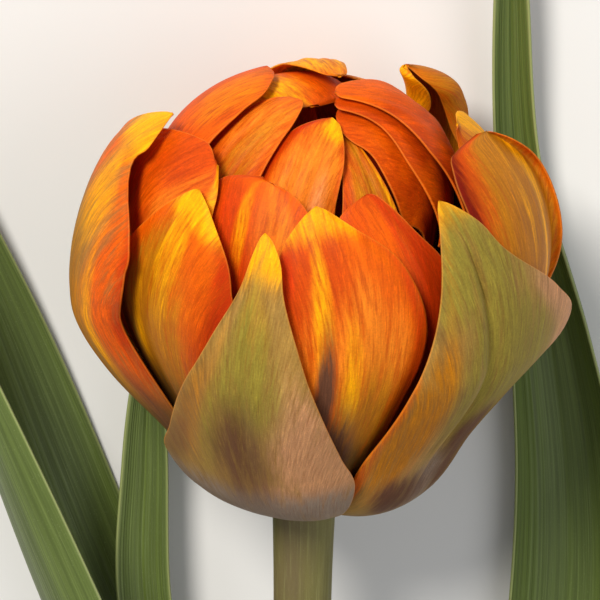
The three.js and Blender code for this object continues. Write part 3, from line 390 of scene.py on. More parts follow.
def through(knots, position, column):
    """Smooth curve through knots, each a row [position, value, value ...]; position is an array."""
    table = np.asarray(knots, float)
    at, value = table[:, 0], table[:, column]
    between = np.diff(value) / np.diff(at)
    slope = np.empty(len(at))
    if len(at) == 2:
        slope[:] = between[0]
    else:
        before, after = at[1:-1] - at[:-2], at[2:] - at[1:-1]
        slope[1:-1] = (between[:-1] * after + between[1:] * before) / (before + after)
        slope[0] = 1.5 * between[0] - 0.5 * slope[1]
        slope[-1] = 1.5 * between[-1] - 0.5 * slope[-2]
    position = np.asarray(position, float)
    i = clamp(np.searchsorted(at, position, side="right") - 1, 0, len(at) - 2)
    gap = at[i + 1] - at[i]
    x = (position - at[i]) / gap
    return ((2 * x**3 - 3 * x**2 + 1) * value[i] + (x**3 - 2 * x**2 + x) * gap * slope[i]
            + (3 * x**2 - 2 * x**3) * value[i + 1] + (x**3 - x**2) * gap * slope[i + 1])


def points_at(knots, position):
    """Points of a smooth curve through knots [position, x, y, z]."""
    return np.stack([through(knots, position, column) for column in (1, 2, 3)], -1)


def by_side(knots, s, u):
    """First value left of the midrib, last value right of it."""
    return np.where(u > 0, through(knots, s, -1), through(knots, s, 1))


def tip_share(s):
    """Share of its width that a blade keeps towards its rounded tip."""
    return np.sqrt(1 - clamp((s - TIP_ROUNDING_START) / (1 - TIP_ROUNDING_START), 0, 0.98) ** 2)


def unit(vectors):
    return vectors / np.maximum(np.linalg.norm(vectors, axis=-1, keepdims=True), 1e-12)


def direction(azimuth, rise):
    a, r = math.radians(azimuth), math.radians(rise)
    return np.array([math.sin(r) * math.cos(a), math.sin(r) * math.sin(a), -math.cos(r)])


def on_layer(way, layer):
    """Points of a layer in directions from the bloom's centre."""
    x, y, z = way[..., 0], way[..., 1], way[..., 2]
    centre = LAYER_CENTRE_STEP * layer
    below = centre + BLOOM_DEPTH_BELOW - LAYER_BASE_STEP * layer
    above = BLOOM_HEIGHT_ABOVE - LAYER_TOP_STEP * layer - centre
    swell = SHOULDER_SWELL * clamp(1 - layer / SHOULDER_LAYERS, 0, 1)
    pinch = WAIST_PINCH * np.sin(math.pi * clamp(-z, 0, 1) ** 1.5)
    radius = (BLOOM_RADIUS - LAYER_RADIUS_STEP * layer) * np.where(z > 0, 1 + swell * z, 1 - pinch)
    return np.stack([radius * x, radius * y, centre + np.where(z < 0, below, above) * z], -1)


foot_shift = Matrix.Translation((0, 0, -BLOOM_DEPTH_BELOW))
BLOOM_TO_WORLD = np.array(
    Matrix.Translation((-REST_SPOT[0], -REST_SPOT[1], BLOOM_CENTRE_HEIGHT))
    @ Matrix.Rotation(-math.radians(90 - BLOOM_TILT), 4, "X")
    @ foot_shift @ Matrix.Rotation(math.radians(BLOOM_LEAN), 4, "Y") @ foot_shift.inverted())


def laid(points):
    """Bloom points to their resting place."""
    return points @ BLOOM_TO_WORLD[:3, :3].T + BLOOM_TO_WORLD[:3, 3]


def ripple(seed, s, u, waves, along, across):
    """Soft unevenness between -1 and 1, a sum of waves with seeded directions and phases."""
    random = np.random.RandomState(seed)
    total = np.zeros(np.broadcast(s, u).shape)
    for _ in range(waves):
        f = random.uniform(-along, along)
        g = random.uniform(-across, across)
        phase = random.uniform(0, LARGEST_PHASE)
        total = total + np.sin(FULL_CIRCLE * (f * s + g * u) + phase)
    return total / waves


def foot_rise(layer):
    """Rise at which a petal's foot stands just off the receptacle."""
    radius = BLOOM_RADIUS - LAYER_RADIUS_STEP * layer
    return math.degrees(math.asin((RECEPTACLE_RADIUS + PETAL_SEAT_CLEARANCE) / radius))


def curve_knots(points, lengths):
    """Knots for through(): points placed by their share of the whole length."""
    at = np.concatenate([[0], np.cumsum(lengths)])
    return np.column_stack([at / at[-1], points])


def rolled(u, half_width, roll, band, fold):
    """Reach across and depth inwards of a strip rolled to an arc, with a band of its margin folded back."""
    beyond = clamp(1 - half_width * (1 - np.abs(u)) / np.maximum(band, 1e-6), 0, 1)
    beyond = np.where(band > 0.05, beyond, 0)
    held = np.where(beyond > 0, np.sign(u) * (1 - band / half_width), u)
    across = half_width / roll * np.sin(roll * held)
    inwards = half_width / roll * (1 - np.cos(roll * held))
    bent = fold * beyond
    across = across + np.sign(u) * band / fold * np.sin(bent)
    inwards = inwards - band / fold * (1 - np.cos(bent))
    return across, inwards


def petal_surface(petal, detail):
    """place(s, u) of a petal: s from foot to tip, u from left margin to right margin."""
    foot, *higher = petal["course"]
    stops = [direction(foot, foot_rise(petal["layer"][0][2]))] + [direction(a, r) for a, r in higher]
    angles = [math.acos(min(1, float(a @ b))) for a, b in zip(stops, stops[1:])]
    knots = curve_knots(np.array(stops), angles)
    curl = petal.get("curl", [[0, 0, 0], [1, 0, 0]])
    turnback = detail.get("turnback", [[0, 0, 0], [1, 0, 0]])
    turnback_angle = math.radians(PETAL_TURNBACK_ANGLE)
    wave_height, wave_count = PETAL_WAVE

    def midrib(s):
        return unit(points_at(knots, s))

    def place(s, u):
        s, u = np.broadcast_arrays(np.asarray(s, float), np.asarray(u, float))
        middle = midrib(s)
        onward = unit(midrib(np.minimum(1, s + COURSE_STEP)) - midrib(np.maximum(0, s - COURSE_STEP)))
        sideways = unit(np.cross(onward, middle))
        half_width = np.maximum(LEAST_PETAL_HALF_WIDTH, by_side(petal["spread"], s, u)) * tip_share(s)
        roll = np.radians(np.maximum(0, through(curl, s, 1))) + 1e-6
        turned = np.radians(through(curl, s, 2))
        band = np.minimum(np.maximum(0, by_side(turnback, s, u)), 0.6 * half_width)
        across, inwards = rolled(u, half_width, roll, band, turnback_angle)
        reach = across * np.cos(turned) - inwards * np.sin(turned)
        roll_depth = across * np.sin(turned) + inwards * np.cos(turned)
        waviness = np.abs(u) ** 5 * smoothstep(0.3, 0.6, s) * (1 - smoothstep(0.93, 1, s))
        wave = wave_height * waviness * ripple(detail["seed"], s, np.sign(u), 3, wave_count, 0.5)
        depth = roll_depth + wave
        for line, breadth, sunk, start, stop in detail.get("creases", ()):
            reach_s = smoothstep(start, start + 0.12, s) * (1 - smoothstep(stop - 0.12, stop, s))
            depth = depth + sunk * reach_s * np.exp(-np.abs((u - line) / breadth) ** 1.5)
        layer_middle = through(petal["layer"], s, 2)
        layer_margin = by_side(petal["layer"], s, u)
        layer = layer_middle + (layer_margin - layer_middle) * u * u + depth / LAYER_RADIUS_STEP
        turn = reach / (BLOOM_RADIUS - LAYER_RADIUS_STEP * layer_middle)
        way = middle * np.cos(turn)[..., None] + sideways * np.sin(turn)[..., None]
        return on_layer(way, layer)

    length = float(np.sum(angles)) * (BLOOM_RADIUS + 2)
    return place, length


def keep_above(points, height):
    """Bloom points no lower than a height over the surface; the lowest petal is pressed flat there."""
    sink = np.maximum(0, height - laid(points)[..., 2])
    points[..., 1] -= sink / math.cos(math.radians(BLOOM_TILT))
    return points


def blade(name, place, rows, columns, thickness, relief, settle, to_world):
    """Closed thin blade over place(s, u). thickness and relief are arrays over the grid, relief a
    height outwards. Returns the object and its grids of s and u."""
    s = rows[:, None]
    u = np.linspace(-1, 1, columns + 1)[None, :]
    along_s = place(np.minimum(1, s + GRID_STEP), u) - place(np.maximum(0, s - GRID_STEP), u)
    along_u = place(s, np.minimum(1, u + GRID_STEP)) - place(s, np.maximum(-1, u - GRID_STEP))
    outward = unit(np.cross(along_u, along_s))
    middle = place(s, u) + outward * relief[..., None]
    faces = []
    for side in (0.5, -0.5):
        points = middle + outward * (side * thickness)[..., None]
        points = settle(points, 0 if side > 0 else thickness)
        faces.append(to_world(points).reshape(-1, 3))
    count = len(rows) * (columns + 1)
    index = np.arange(count).reshape(len(rows), columns + 1)
    a, b = index[:-1, :-1], index[:-1, 1:]
    c, d = index[1:, 1:], index[1:, :-1]
    outer = np.stack([a, b, c, d], -1).reshape(-1, 4)
    inner = np.stack([a, d, c, b], -1).reshape(-1, 4) + count
    borders = [(index[1:, 0], index[:-1, 0]), (index[:-1, -1], index[1:, -1]),
               (index[0, :-1][::-1], index[0, 1:][::-1]), (index[-1, 1:], index[-1, :-1])]
    rim = [np.stack([first, second, second + count, first + count], -1) for first, second in borders]
    rim[0] = rim[0][:, ::-1]
    rim[1] = rim[1][:, ::-1]
    quads = np.concatenate([outer, inner, *rim])
    obj = mesh_object(name, np.concatenate(faces), quads)
    s_grid, u_grid = np.broadcast_arrays(s, u)
    return obj, s_grid.ravel(), u_grid.ravel()


def mesh_object(name, points, quads):
    """Smooth mesh object from millimetre points and quads."""
    mesh = bpy.data.meshes.new(name)
    mesh.vertices.add(len(points))
    mesh.vertices.foreach_set("co", (points * MM).astype(np.float32).ravel())
    mesh.loops.add(4 * len(quads))
    mesh.loops.foreach_set("vertex_index", quads.astype(np.int32).ravel())
    mesh.polygons.add(len(quads))
    mesh.polygons.foreach_set("loop_start", np.arange(0, 4 * len(quads), 4, dtype=np.int32))
    mesh.polygons.foreach_set("loop_total", np.full(len(quads), 4, np.int32))
    mesh.polygons.foreach_set("use_smooth", np.ones(len(quads), bool))
    mesh.update(calc_edges=True)
    mesh.validate()
    obj = bpy.data.objects.new(name, mesh)
    bpy.context.scene.collection.objects.link(obj)
    return obj


def twice(values):
    """Values of a blade's grid, once for its outer face and once for its inner one."""
    return np.concatenate([values, values])


def set_values(obj, name, values):
    """One number for each vertex, which the materials read by name."""
    attribute = obj.data.attributes.new(name, "FLOAT", "POINT")
    attribute.data.foreach_set("value", np.asarray(values, np.float32).ravel())


def set_run(obj, across, along, apart):
    """Place on the blade in millimetres, along which the materials stretch their streaks."""
    attribute = obj.data.attributes.new("run", "FLOAT_VECTOR", "POINT")
    run = np.stack([across, along, np.full(len(along), apart)], -1)
    attribute.data.foreach_set("vector", run.astype(np.float32).ravel())


def fit_in_frame(obj, node, material):
    """Dresses an object and sets it in the place of a solid of the frame."""
    obj.data.materials.append(material)
    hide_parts(node)
    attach(obj, "root")


# Pigments of the petals, in the order in which they are laid. The brown umber, laid mostly round the petals'
# feet, is partly their own colour and partly painted shade.
SHADES = {
    "apricot": "e87c1a", "orange": "e05a00", "red": "c03400", "salmon": "cc9264", "ochre": "ba720c",
    "yellow": "f8a800", "green": "928030", "lilac": "96806e", "umber_and_shade": "74501e", "purple": "66402c",
    # Crimson, laid low on the petals and in the bloom's depths, is partly their own dark red and partly
    # painted shade.
    "crimson_and_shade": "761400",
}
# A patch is [way up, across, reach up, reach across, amount]. It lays its pigment softly round that
# place, and the material breaks its edge up into streaks.
GREEN_BACK = {
    "green": [[0.4, 0, 0.45, 1.1, 0.9]],
    "yellow": [[1.0, 0, 0.1, 2, 1]],
    "lilac": [[0.06, 0, 0.16, 1.5, 0.7]],
    "umber_and_shade": [[0.15, 0, 0.2, 2, 0.6]],
}
ORANGE_BACK = {
    "yellow": [[1.0, 0, 0.09, 2, 0.8], [0.7, 0, 0.25, 0.3, 0.45]],
    "red": [[0.6, 0.9, 0.4, 0.35, 0.7], [0.6, -0.9, 0.4, 0.35, 0.7]],
    "umber_and_shade": [[0.1, 0, 0.25, 2, 0.8]],
}
PIGMENTS = {
    "guard_front": {
        "salmon": [[0.46, 0.75, 0.28, 0.5, 1.1], [0.28, 0.5, 0.14, 0.6, 0.8]],
        "ochre": [[0.6, -0.7, 0.25, 0.4, 0.5]],
        "yellow": [[1, 0, 0.1, 2, 1.1], [0.84, 0.1, 0.12, 0.45, 0.5]],
        "green": [[0.74, 0.05, 0.2, 0.6, 0.85], [0.58, -0.45, 0.25, 0.2, 0.6]],
        "lilac": [[0.2, 0.1, 0.14, 2, 0.9]],
        "umber_and_shade": [[0.52, -0.2, 0.16, 0.3, 0.6]],
        "purple": [[0.46, -0.05, 0.26, 0.4, 0.62], [0.45, -0.85, 0.2, 0.2, 0.5]],
    },
    "guard_right": {
        "orange": [[0.3, -1, 0.22, 0.16, 1.1], [0.5, -1, 0.2, 0.1, 0.9]],
        "salmon": [[0.66, 0.95, 0.16, 0.3, 1], [0.4, -0.6, 0.2, 0.4, 0.5], [0.55, -0.1, 0.3, 0.12, 0.6]],
        "ochre": [[0.5, -0.7, 0.3, 0.35, 0.9]],
        "yellow": [[1, 0, 0.06, 2, 1.1], [0.9, -0.7, 0.12, 0.25, 0.7]],
        "green": [[0.66, 0.15, 0.3, 0.62, 0.9], [0.88, 0, 0.13, 1.4, 0.9]],
        "lilac": [[0.28, 0.1, 0.14, 0.5, 0.9]],
        "umber_and_shade": [[0.35, 0.6, 0.22, 0.5, 0.8]],
        "purple": [[0.44, 0.2, 0.1, 0.16, 1], [0.26, -0.3, 0.1, 0.4, 1], [0.34, 0.3, 0.12, 0.2, 0.8]],
    },
    "guard_left": {
        "orange": [[0.65, 0.85, 0.4, 0.4, 0.9], [0.88, 0.2, 0.12, 2, 0.6]],
        "red": [[0.6, 1, 0.35, 0.12, 0.8]],
        "ochre": [[0.5, 0.2, 0.4, 0.5, 0.7]],
        "yellow": [[0.98, 0, 0.08, 2, 1.1], [0.86, 0.3, 0.14, 0.4, 0.6], [0.55, 0.6, 0.3, 0.1, 0.6]],
        "green": [[0.5, 0.05, 0.3, 0.25, 0.5]],
        "umber_and_shade": [[0.2, 0.5, 0.22, 2, 0.9]],
        "purple": [[0.34, 0.7, 0.16, 0.2, 0.6]],
    },
    "guard_back_left": GREEN_BACK,
    "guard_back": GREEN_BACK,
    "guard_back_right": GREEN_BACK,
    "outer_centre": {
        "apricot": [[0.66, 0.3, 0.2, 0.5, 0.9], [0.7, -0.3, 0.2, 0.3, 0.6]],
        "ochre": [[0.48, 0.35, 0.2, 0.6, 0.9], [0.5, -0.8, 0.2, 0.3, 0.7]],
        "yellow": [[1, 0, 0.07, 2, 1], [0.82, -0.25, 0.2, 0.16, 0.6], [0.55, 0.1, 0.24, 0.14, 0.7]],
        "red": [[0.82, -0.9, 0.24, 0.25, 0.9], [0.66, 0.95, 0.3, 0.16, 0.6]],
        "umber_and_shade": [[0.28, 0, 0.2, 2, 1]],
        "purple": [[0.54, -0.2, 0.22, 0.12, 1.1], [0.4, 0.05, 0.18, 0.3, 1]],
    },
    "outer_left": {
        "orange": [[0.88, -0.5, 0.14, 0.6, 0.8]],
        "ochre": [[0.58, -0.2, 0.36, 0.7, 1.1]],
        "yellow": [[0.99, 0, 0.07, 2, 1], [0.82, 0.1, 0.18, 0.25, 0.6], [0.6, -0.3, 0.25, 0.1, 0.5]],
        "red": [[0.65, 0.95, 0.42, 0.25, 0.95], [0.45, -0.85, 0.3, 0.1, 0.9]],
        "green": [[0.58, -0.55, 0.22, 0.22, 0.6]],
        "umber_and_shade": [[0.3, 0, 0.22, 1.6, 1]],
        "purple": [[0.46, -0.62, 0.24, 0.14, 1.1]],
    },
    "outer_far_left": {
        "apricot": [[0.85, 0.4, 0.16, 0.4, 0.7]],
        "yellow": [[0.9, 0.85, 0.14, 0.3, 1.1]],
        "red": [[0.55, -0.7, 0.35, 0.5, 0.8], [0.75, 0.1, 0.08, 0.2, 0.4]],
        "crimson_and_shade": [[0.3, 0, 0.3, 2, 0.8]],
    },
    "outer_mid_left": {
        "apricot": [[0.86, 0.3, 0.16, 0.4, 0.8]],
        "red": [[0.7, -0.4, 0.35, 0.8, 0.6]],
        "yellow": [[0.86, -0.2, 0.16, 0.12, 0.5]],
        "crimson_and_shade": [[0.4, 0, 0.28, 2, 0.9]],
    },
    "outer_mid_right": {
        "red": [[0.7, 0.6, 0.4, 0.7, 0.9]],
        "crimson_and_shade": [[0.4, 0.2, 0.3, 2, 0.8]],
    },
    "outer_right": {
        "orange": [[1, 0, 0.07, 2, 1.2], [0.75, 0.95, 0.5, 0.2, 1]],
        "red": [[0.8, -0.8, 0.4, 0.14, 0.7]],
        "ochre": [[0.72, 0.1, 0.45, 0.85, 1.6]],
        "yellow": [[0.92, 0.5, 0.1, 0.14, 1], [0.75, 0.35, 0.25, 0.1, 0.8], [0.85, -0.05, 0.16, 0.08, 0.5]],
        "umber_and_shade": [[0.42, 0.1, 0.2, 2, 0.8]],
        # Crimson along this petal's left margin is painted shade cast by the dome beside it, over some dark
        # red of its own.
        "crimson_and_shade": [[0.72, -1, 0.45, 0.2, 1]],
    },
    "outer_far_right": {
        "ochre": [[0.8, 0, 0.3, 2, 0.7]],
        "yellow": [[0.96, 0.6, 0.1, 0.7, 1.1]],
        "red": [[0.6, 0, 0.25, 2, 0.6]],
    },
    "outer_hooded": {
        "ochre": [[0.86, 0, 0.22, 2, 0.8]],
        "yellow": [[0.94, 0.5, 0.1, 0.6, 1.0]],
        "red": [[0.5, 0, 0.3, 2, 0.7]],
    },
    "outer_back_right": ORANGE_BACK,
    "outer_back": ORANGE_BACK,
    "outer_back_left": ORANGE_BACK,
    "dome_left": {
        "red": [[0.65, -0.2, 0.35, 0.5, 0.5], [0.5, 0.8, 0.3, 0.3, 0.6]],
        "yellow": [[0.9, 0.6, 0.12, 0.5, 0.4]],
    },
    "dome_back_left": {
        "yellow": [[0.88, 0.5, 0.16, 0.7, 0.8]],
        "red": [[0.65, -0.5, 0.3, 0.5, 0.6]],
    },
    "dome_front_left": {
        "apricot": [[0.88, 0, 0.16, 1.2, 0.7]],
        "ochre": [[0.72, 0.25, 0.3, 0.6, 0.6]],
        "red": [[0.5, 0, 0.25, 2, 0.7]],
    },
    "dome_front": {
        "apricot": [[0.75, 0.2, 0.28, 0.8, 1.1]],
        "yellow": [[0.98, 0.4, 0.06, 0.8, 1]],
        "salmon": [[0.7, 0.5, 0.16, 0.3, 0.4]],
        "red": [[0.84, -0.9, 0.36, 0.25, 0.9], [0.45, 0, 0.22, 2, 0.7]],
    },
    "dome_front_right": {
        "ochre": [[0.78, 0.2, 0.3, 0.9, 0.8]],
        "yellow": [[0.8, 0.85, 0.2, 0.14, 0.8]],
        "red": [[0.5, 0, 0.25, 2, 0.8]],
    },
    # This petal lies deep in the bloom and is crimson all over: its own dark red and painted shade.
    "dome_inner_right": {"crimson_and_shade": [[0.6, 0, 0.6, 3, 1]]},
    "dome_right_inner": {"red": [[0.75, 0.2, 0.3, 0.8, 0.3]], "crimson_and_shade": [[0.35, 0, 0.24, 3, 0.8]]},
    "dome_right_mid": {"red": [[0.7, 0.4, 0.3, 0.6, 0.3]], "crimson_and_shade": [[0.35, 0, 0.22, 3, 0.8]]},
    "dome_right_outer": {"red": [[0.65, 0.4, 0.3, 0.5, 0.2]], "crimson_and_shade": [[0.35, 0, 0.2, 3, 0.8]]},
    "dome_back_right": {"yellow": [[0.95, 0, 0.1, 2, 0.5]]},
    "dome_back": {"yellow": [[0.85, 0, 0.2, 2, 0.7]]},
}
# Forms too fine for the frame's solids. creases: [across, breadth, depth inwards, from, to].
# turnback: [way up, left, right], breadths of the margins that fold back.
DETAILS = {
    "guard_front": {"creases": [[0.02, 0.12, 0.35, 0.1, 0.9]]},
    "guard_right": {"creases": [[0.0, 0.1, 1.0, 0.2, 0.95]]},
    "outer_right": {"turnback": [[0, 0, 0], [0.6, 0, 0], [0.8, 0, 2.2], [1, 0, 2.2]]},
    "dome_front": {"creases": [[-0.25, 0.1, 0.45, 0.45, 0.95], [0.3, 0.14, 0.3, 0.5, 0.9]]},
    "dome_front_left": {"creases": [[-0.2, 0.12, 0.4, 0.5, 0.95], [0.35, 0.16, 0.5, 0.5, 1]]},
    "dome_back_left": {"creases": [[0.2, 0.14, 0.5, 0.5, 1]]},
}


def pigment_amount(patches, s, u):
    """How strongly a pigment lies at each place of a petal."""
    most = np.zeros(len(s))
    for at_s, at_u, reach_s, reach_u, amount in patches:
        far = ((s - at_s) / reach_s) ** 2 + ((u - at_u) / reach_u) ** 2
        most = np.maximum(most, amount * np.exp(-far ** 1.5))
    return most


def srgb(code):
    """Linear colour from a hex code."""
    parts = [int(code[i:i + 2], 16) / 255 for i in (0, 2, 4)]
    return [p / 12.92 if p <= 0.04045 else ((p + 0.055) / 1.055) ** 2.4 for p in parts] + [1.0]


class Wiring:
    """Short words for a material's nodes; each returns the socket that carries its result."""

    def __init__(self, name):
        self.material = bpy.data.materials.new(name)
        self.material.use_nodes = True
        self.tree = self.material.node_tree
        self.tree.nodes.clear()

    def node(self, kind, inputs=(), output=0, **settings):
        made = self.tree.nodes.new(kind)
        for key, value in settings.items():
            setattr(made, key, value)
        for key, value in dict(inputs).items():
            if isinstance(value, bpy.types.NodeSocket):
                self.tree.links.new(value, made.inputs[key])
            else:
                made.inputs[key].default_value = value
        return made.outputs[output]

    def value(self, name):
        return self.node("ShaderNodeAttribute", output="Fac", attribute_name=name)

    def vector(self, name):
        return self.node("ShaderNodeAttribute", output="Vector", attribute_name=name)

    def calc(self, operation, *values):
        return self.node("ShaderNodeMath", dict(enumerate(values)), operation=operation)

    def stretched(self, vector, x, y, z=1.0):
        return self.node("ShaderNodeVectorMath", {0: vector, 1: (x, y, z)}, operation="MULTIPLY")

    def noise(self, vector, detail=3.0, roughness=0.55, scale=1.0):
        inputs = {"Vector": vector, "Scale": scale, "Detail": detail, "Roughness": roughness}
        return self.node("ShaderNodeTexNoise", inputs, output="Fac")

    def ramp(self, value, low, high, to_low=0.0, to_high=1.0):
        inputs = {0: value, 1: low, 2: high, 3: to_low, 4: to_high}
        return self.node("ShaderNodeMapRange", inputs, interpolation_type="SMOOTHSTEP")

    def mix(self, factor, first, second, mode="MIX"):
        inputs = {0: factor, 6: first, 7: second}
        return self.node("ShaderNodeMix", inputs, output=2, data_type="RGBA", blend_type=mode)

    def bump(self, height, strength, distance):
        inputs = {"Height": height, "Strength": strength, "Distance": distance}
        return self.node("ShaderNodeBump", inputs)

    def finish(self, **inputs):
        surface = self.node("ShaderNodeBsdfPrincipled", {k.replace("_", " "): v for k, v in inputs.items()})
        output = self.tree.nodes.new("ShaderNodeOutputMaterial")
        self.tree.links.new(surface, output.inputs["Surface"])
        return self.material


def petal_material(name, ground, deep):
    """Satin petal: a ground colour, pigments feathered over it along the veins, two of them partly painted
    shade, and a painted highlight along the margin.
    """
    w = Wiring(name)
    run = w.vector("run")
    broad = w.noise(w.stretched(run, 0.16, 0.06), 2, 0.5)
    streak = w.noise(w.stretched(run, 0.8, 0.07), 4, 0.65)
    fine = w.noise(w.stretched(run, 3.2, 0.2), 3, 0.6)
    hair = w.noise(w.stretched(run, 7.5, 0.5), 2, 0.6)
    grain = w.noise(w.stretched(run, 4.5, 3.5), 3, 0.65)
    feather = w.calc("ADD", w.calc("MULTIPLY", streak, 0.6), w.calc("MULTIPLY", fine, 0.4))
    colour = w.mix(w.ramp(broad, 0.35, 0.68), srgb(ground), srgb(deep))
    uneven = w.ramp(feather, 0.32, 0.68, 0.6, 1.4)
    # The umber and crimson layers are partly painted shade: at the petals' feet and in the bloom's depths.
    for pigment, shade in SHADES.items():
        amount = w.ramp(w.calc("MULTIPLY", w.value(pigment), uneven), 0.1, 0.95)
        colour = w.mix(amount, colour, srgb(shade))
    colour = w.mix(w.ramp(fine, 0.56, 0.3, 0.0, 0.5), colour, (0.62, 0.5, 0.42, 1), "MULTIPLY")
    colour = w.mix(w.ramp(feather, 0.48, 0.66, 0.0, 0.6), colour, (1.35, 1.35, 1.3, 1), "MULTIPLY")
    colour = w.mix(w.ramp(hair, 0.5, 0.72, 0.0, 0.55), colour, (1.5, 1.5, 1.4, 1), "MULTIPLY")
    colour = w.mix(w.ramp(grain, 0.4, 0.65, 0.0, 0.35), colour, (0.66, 0.62, 0.6, 1), "MULTIPLY")
    # Painted highlight: a thin bright line along each petal's margin.
    margin = w.ramp(w.value("to_edge"), 0.0, 0.22, 0.3, 0.0)
    colour = w.mix(margin, colour, srgb("f89830"))
    height = w.calc("ADD", feather, w.calc("MULTIPLY", hair, 0.35))
    return w.finish(Base_Color=colour, Roughness=w.ramp(fine, 0.2, 0.8, 0.5, 0.64),
                    Specular_IOR_Level=0.12, Subsurface_Weight=0.06, Subsurface_Radius=(1.0, 0.35, 0.1),
                    Subsurface_Scale=0.0009, Normal=w.bump(height, 0.5, 0.00014))


materials = {
    "guard_petal": petal_material("guard_petal_satin", "aa823e", "947038"),
    "outer_petal": petal_material("outer_petal_satin", "e46000", "cc4600"),
    "inner_petal": petal_material("inner_petal_satin", "e25c00", "c64200"),
}


PETAL_SLOTS = {"guard": "guard_petal", "outer": "outer_petal", "dome": "inner_petal"}


def make_petal(number, name, petal):
    detail = {"seed": 40 + number, **DETAILS.get(name, {})}
    count, columns = HIDDEN_GRID if name in HIDDEN_PETALS else PETAL_GRID
    rows = 1 - (1 - np.linspace(0, 1, count + 1)) ** ROW_CROWDING
    place, length = petal_surface(petal, detail)
    s, u = rows[:, None], np.linspace(-1, 1, columns + 1)[None, :]
    margin_share = 1 - PETAL_MARGIN_THINNING * smoothstep(0.6, 1, np.abs(u))
    thickness = PETAL_THICKNESS * margin_share * (1 - PETAL_TIP_THINNING * smoothstep(0.9, 1, s))
    veins = ripple(detail["seed"] + 200, s, u, 9, 1.5, 16)
    folds = ripple(detail["seed"] + 100, s, u, 4, 0.8, 2.2)
    relief = (PETAL_VEIN_HEIGHT * veins + PETAL_FOLD_HEIGHT * folds) * smoothstep(0.12, 0.4, s)
    relief = relief * (1 - smoothstep(0.85, 1, s))
    obj, s, u = blade(name + "_petal", place, rows, columns, thickness, relief, keep_above, laid)
    half_width = np.maximum(LEAST_PETAL_HALF_WIDTH, by_side(petal["spread"], s, u))
    fanned = u * half_width / (0.35 + s) * 0.9
    set_run(obj, twice(fanned), twice(s * length), 7.3 * number)
    to_edge = np.minimum(half_width * (1 - np.abs(u)), length * (1 - s) + 0.3)
    set_values(obj, "to_edge", twice(to_edge))
    for pigment in SHADES:
        patches = PIGMENTS[name].get(pigment, ())
        set_values(obj, pigment, twice(pigment_amount(patches, s, u)))
    slot = PETAL_SLOTS[name.split("_")[0]]
    fit_in_frame(obj, name, materials[slot])


for number, (name, petal) in enumerate(PETALS.items()):
    make_petal(number, name, petal)


# Stem, in a frame of its own in which the origin is REST_SPOT
bloom_foot = laid(np.array([0, 0, -BLOOM_DEPTH_BELOW])) + np.array([*REST_SPOT, 0])
STEM_KNOTS = STEM_COURSE + [[1, *(bloom_foot + np.array([-0.1, -1.2, -0.1]))]]


def stem_axis(s):
    return points_at(STEM_KNOTS, s)


def to_rest(points):
    """From the stem's frame to the place where the flower rests."""
    return points - np.array([*REST_SPOT, 0])


def ring_body(name, rings):
    """Closed body from rings of points, each an array (sides, 3)."""
    rings = np.asarray(rings)
    count, sides = rings.shape[:2]
    index = np.arange(count * sides).reshape(count, sides)
    a, b = index[:-1], np.roll(index[:-1], -1, 1)
    c, d = np.roll(index[1:], -1, 1), index[1:]
    quads = np.stack([a, b, c, d], -1).reshape(-1, 4)
    obj = mesh_object(name, rings.reshape(-1, 3), quads)
    close_ends(obj)
    return obj


def close_ends(obj):
    """Fills the small holes in the first and last ring of a ring body."""
    shape = bmesh.new()
    shape.from_mesh(obj.data)
    bmesh.ops.holes_fill(shape, edges=[e for e in shape.edges if e.is_boundary], sides=0)
    bmesh.ops.recalc_face_normals(shape, faces=shape.faces)
    for face in shape.faces:
        face.smooth = True
    shape.to_mesh(obj.data)
    shape.free()


def stem_rings():
    """Rings from the middle of the cut face, out to its rim, along the stem and in over the receptacle."""
    angle = 2 * math.pi * (np.arange(STEM_SIDES) + 0.5) / STEM_SIDES
    ridges = 1 + 0.006 * np.cos(9 * angle) + 0.004 * np.cos(15 * angle + 1)
    rings, along_mm, out = [], [], []
    s = np.linspace(0, 1, STEM_STEPS + 1)
    centres = stem_axis(s)
    onward = unit(stem_axis(np.minimum(1, s + 0.01)) - stem_axis(np.maximum(0, s - 0.01)))
    swell = STEM_SWELL * np.maximum(0, (s - STEM_SWELL_START) / (1 - STEM_SWELL_START)) ** 2
    stations = [(centres[0], onward[0], share * STEM_RADIUS, share) for share in (0.02, 0.3, 0.6, 0.85, 0.97)]
    stations += [(c, o, STEM_RADIUS + w, 1) for c, o, w in zip(centres, onward, swell)]
    bloom_axis = unit(laid(np.array([0.0, 0, 1])) - laid(np.array([0.0, 0, 0])))
    top = [(RECEPTACLE_FOOT, RECEPTACLE_RADIUS), (RECEPTACLE_WAIST, RECEPTACLE_RADIUS),
           (RECEPTACLE_TOP - RECEPTACLE_ROUNDING, RECEPTACLE_RADIUS),
           (RECEPTACLE_TOP, RECEPTACLE_RADIUS - RECEPTACLE_ROUNDING), (RECEPTACLE_TOP, 0.05)]
    for height, radius in top:
        centre = laid(np.array([0.0, 0, height])) + np.array([*REST_SPOT, 0])
        stations.append((centre, bloom_axis, radius, 1))
    travelled, previous = 0, None
    for centre, axis, radius, share in stations:
        up = unit(np.cross([1.0, 0, 0], axis))
        side = unit(np.cross(axis, up))
        reach = radius * (ridges if share == 1 else 1)
        rings.append(centre + side * (reach * np.cos(angle))[:, None] - up * (reach * np.sin(angle))[:, None])
        travelled += 0 if previous is None else float(np.linalg.norm(centre - previous))
        previous = centre
        along_mm.append(travelled)
        out.append(share)
    return np.array(rings), np.array(along_mm), np.array(out), angle


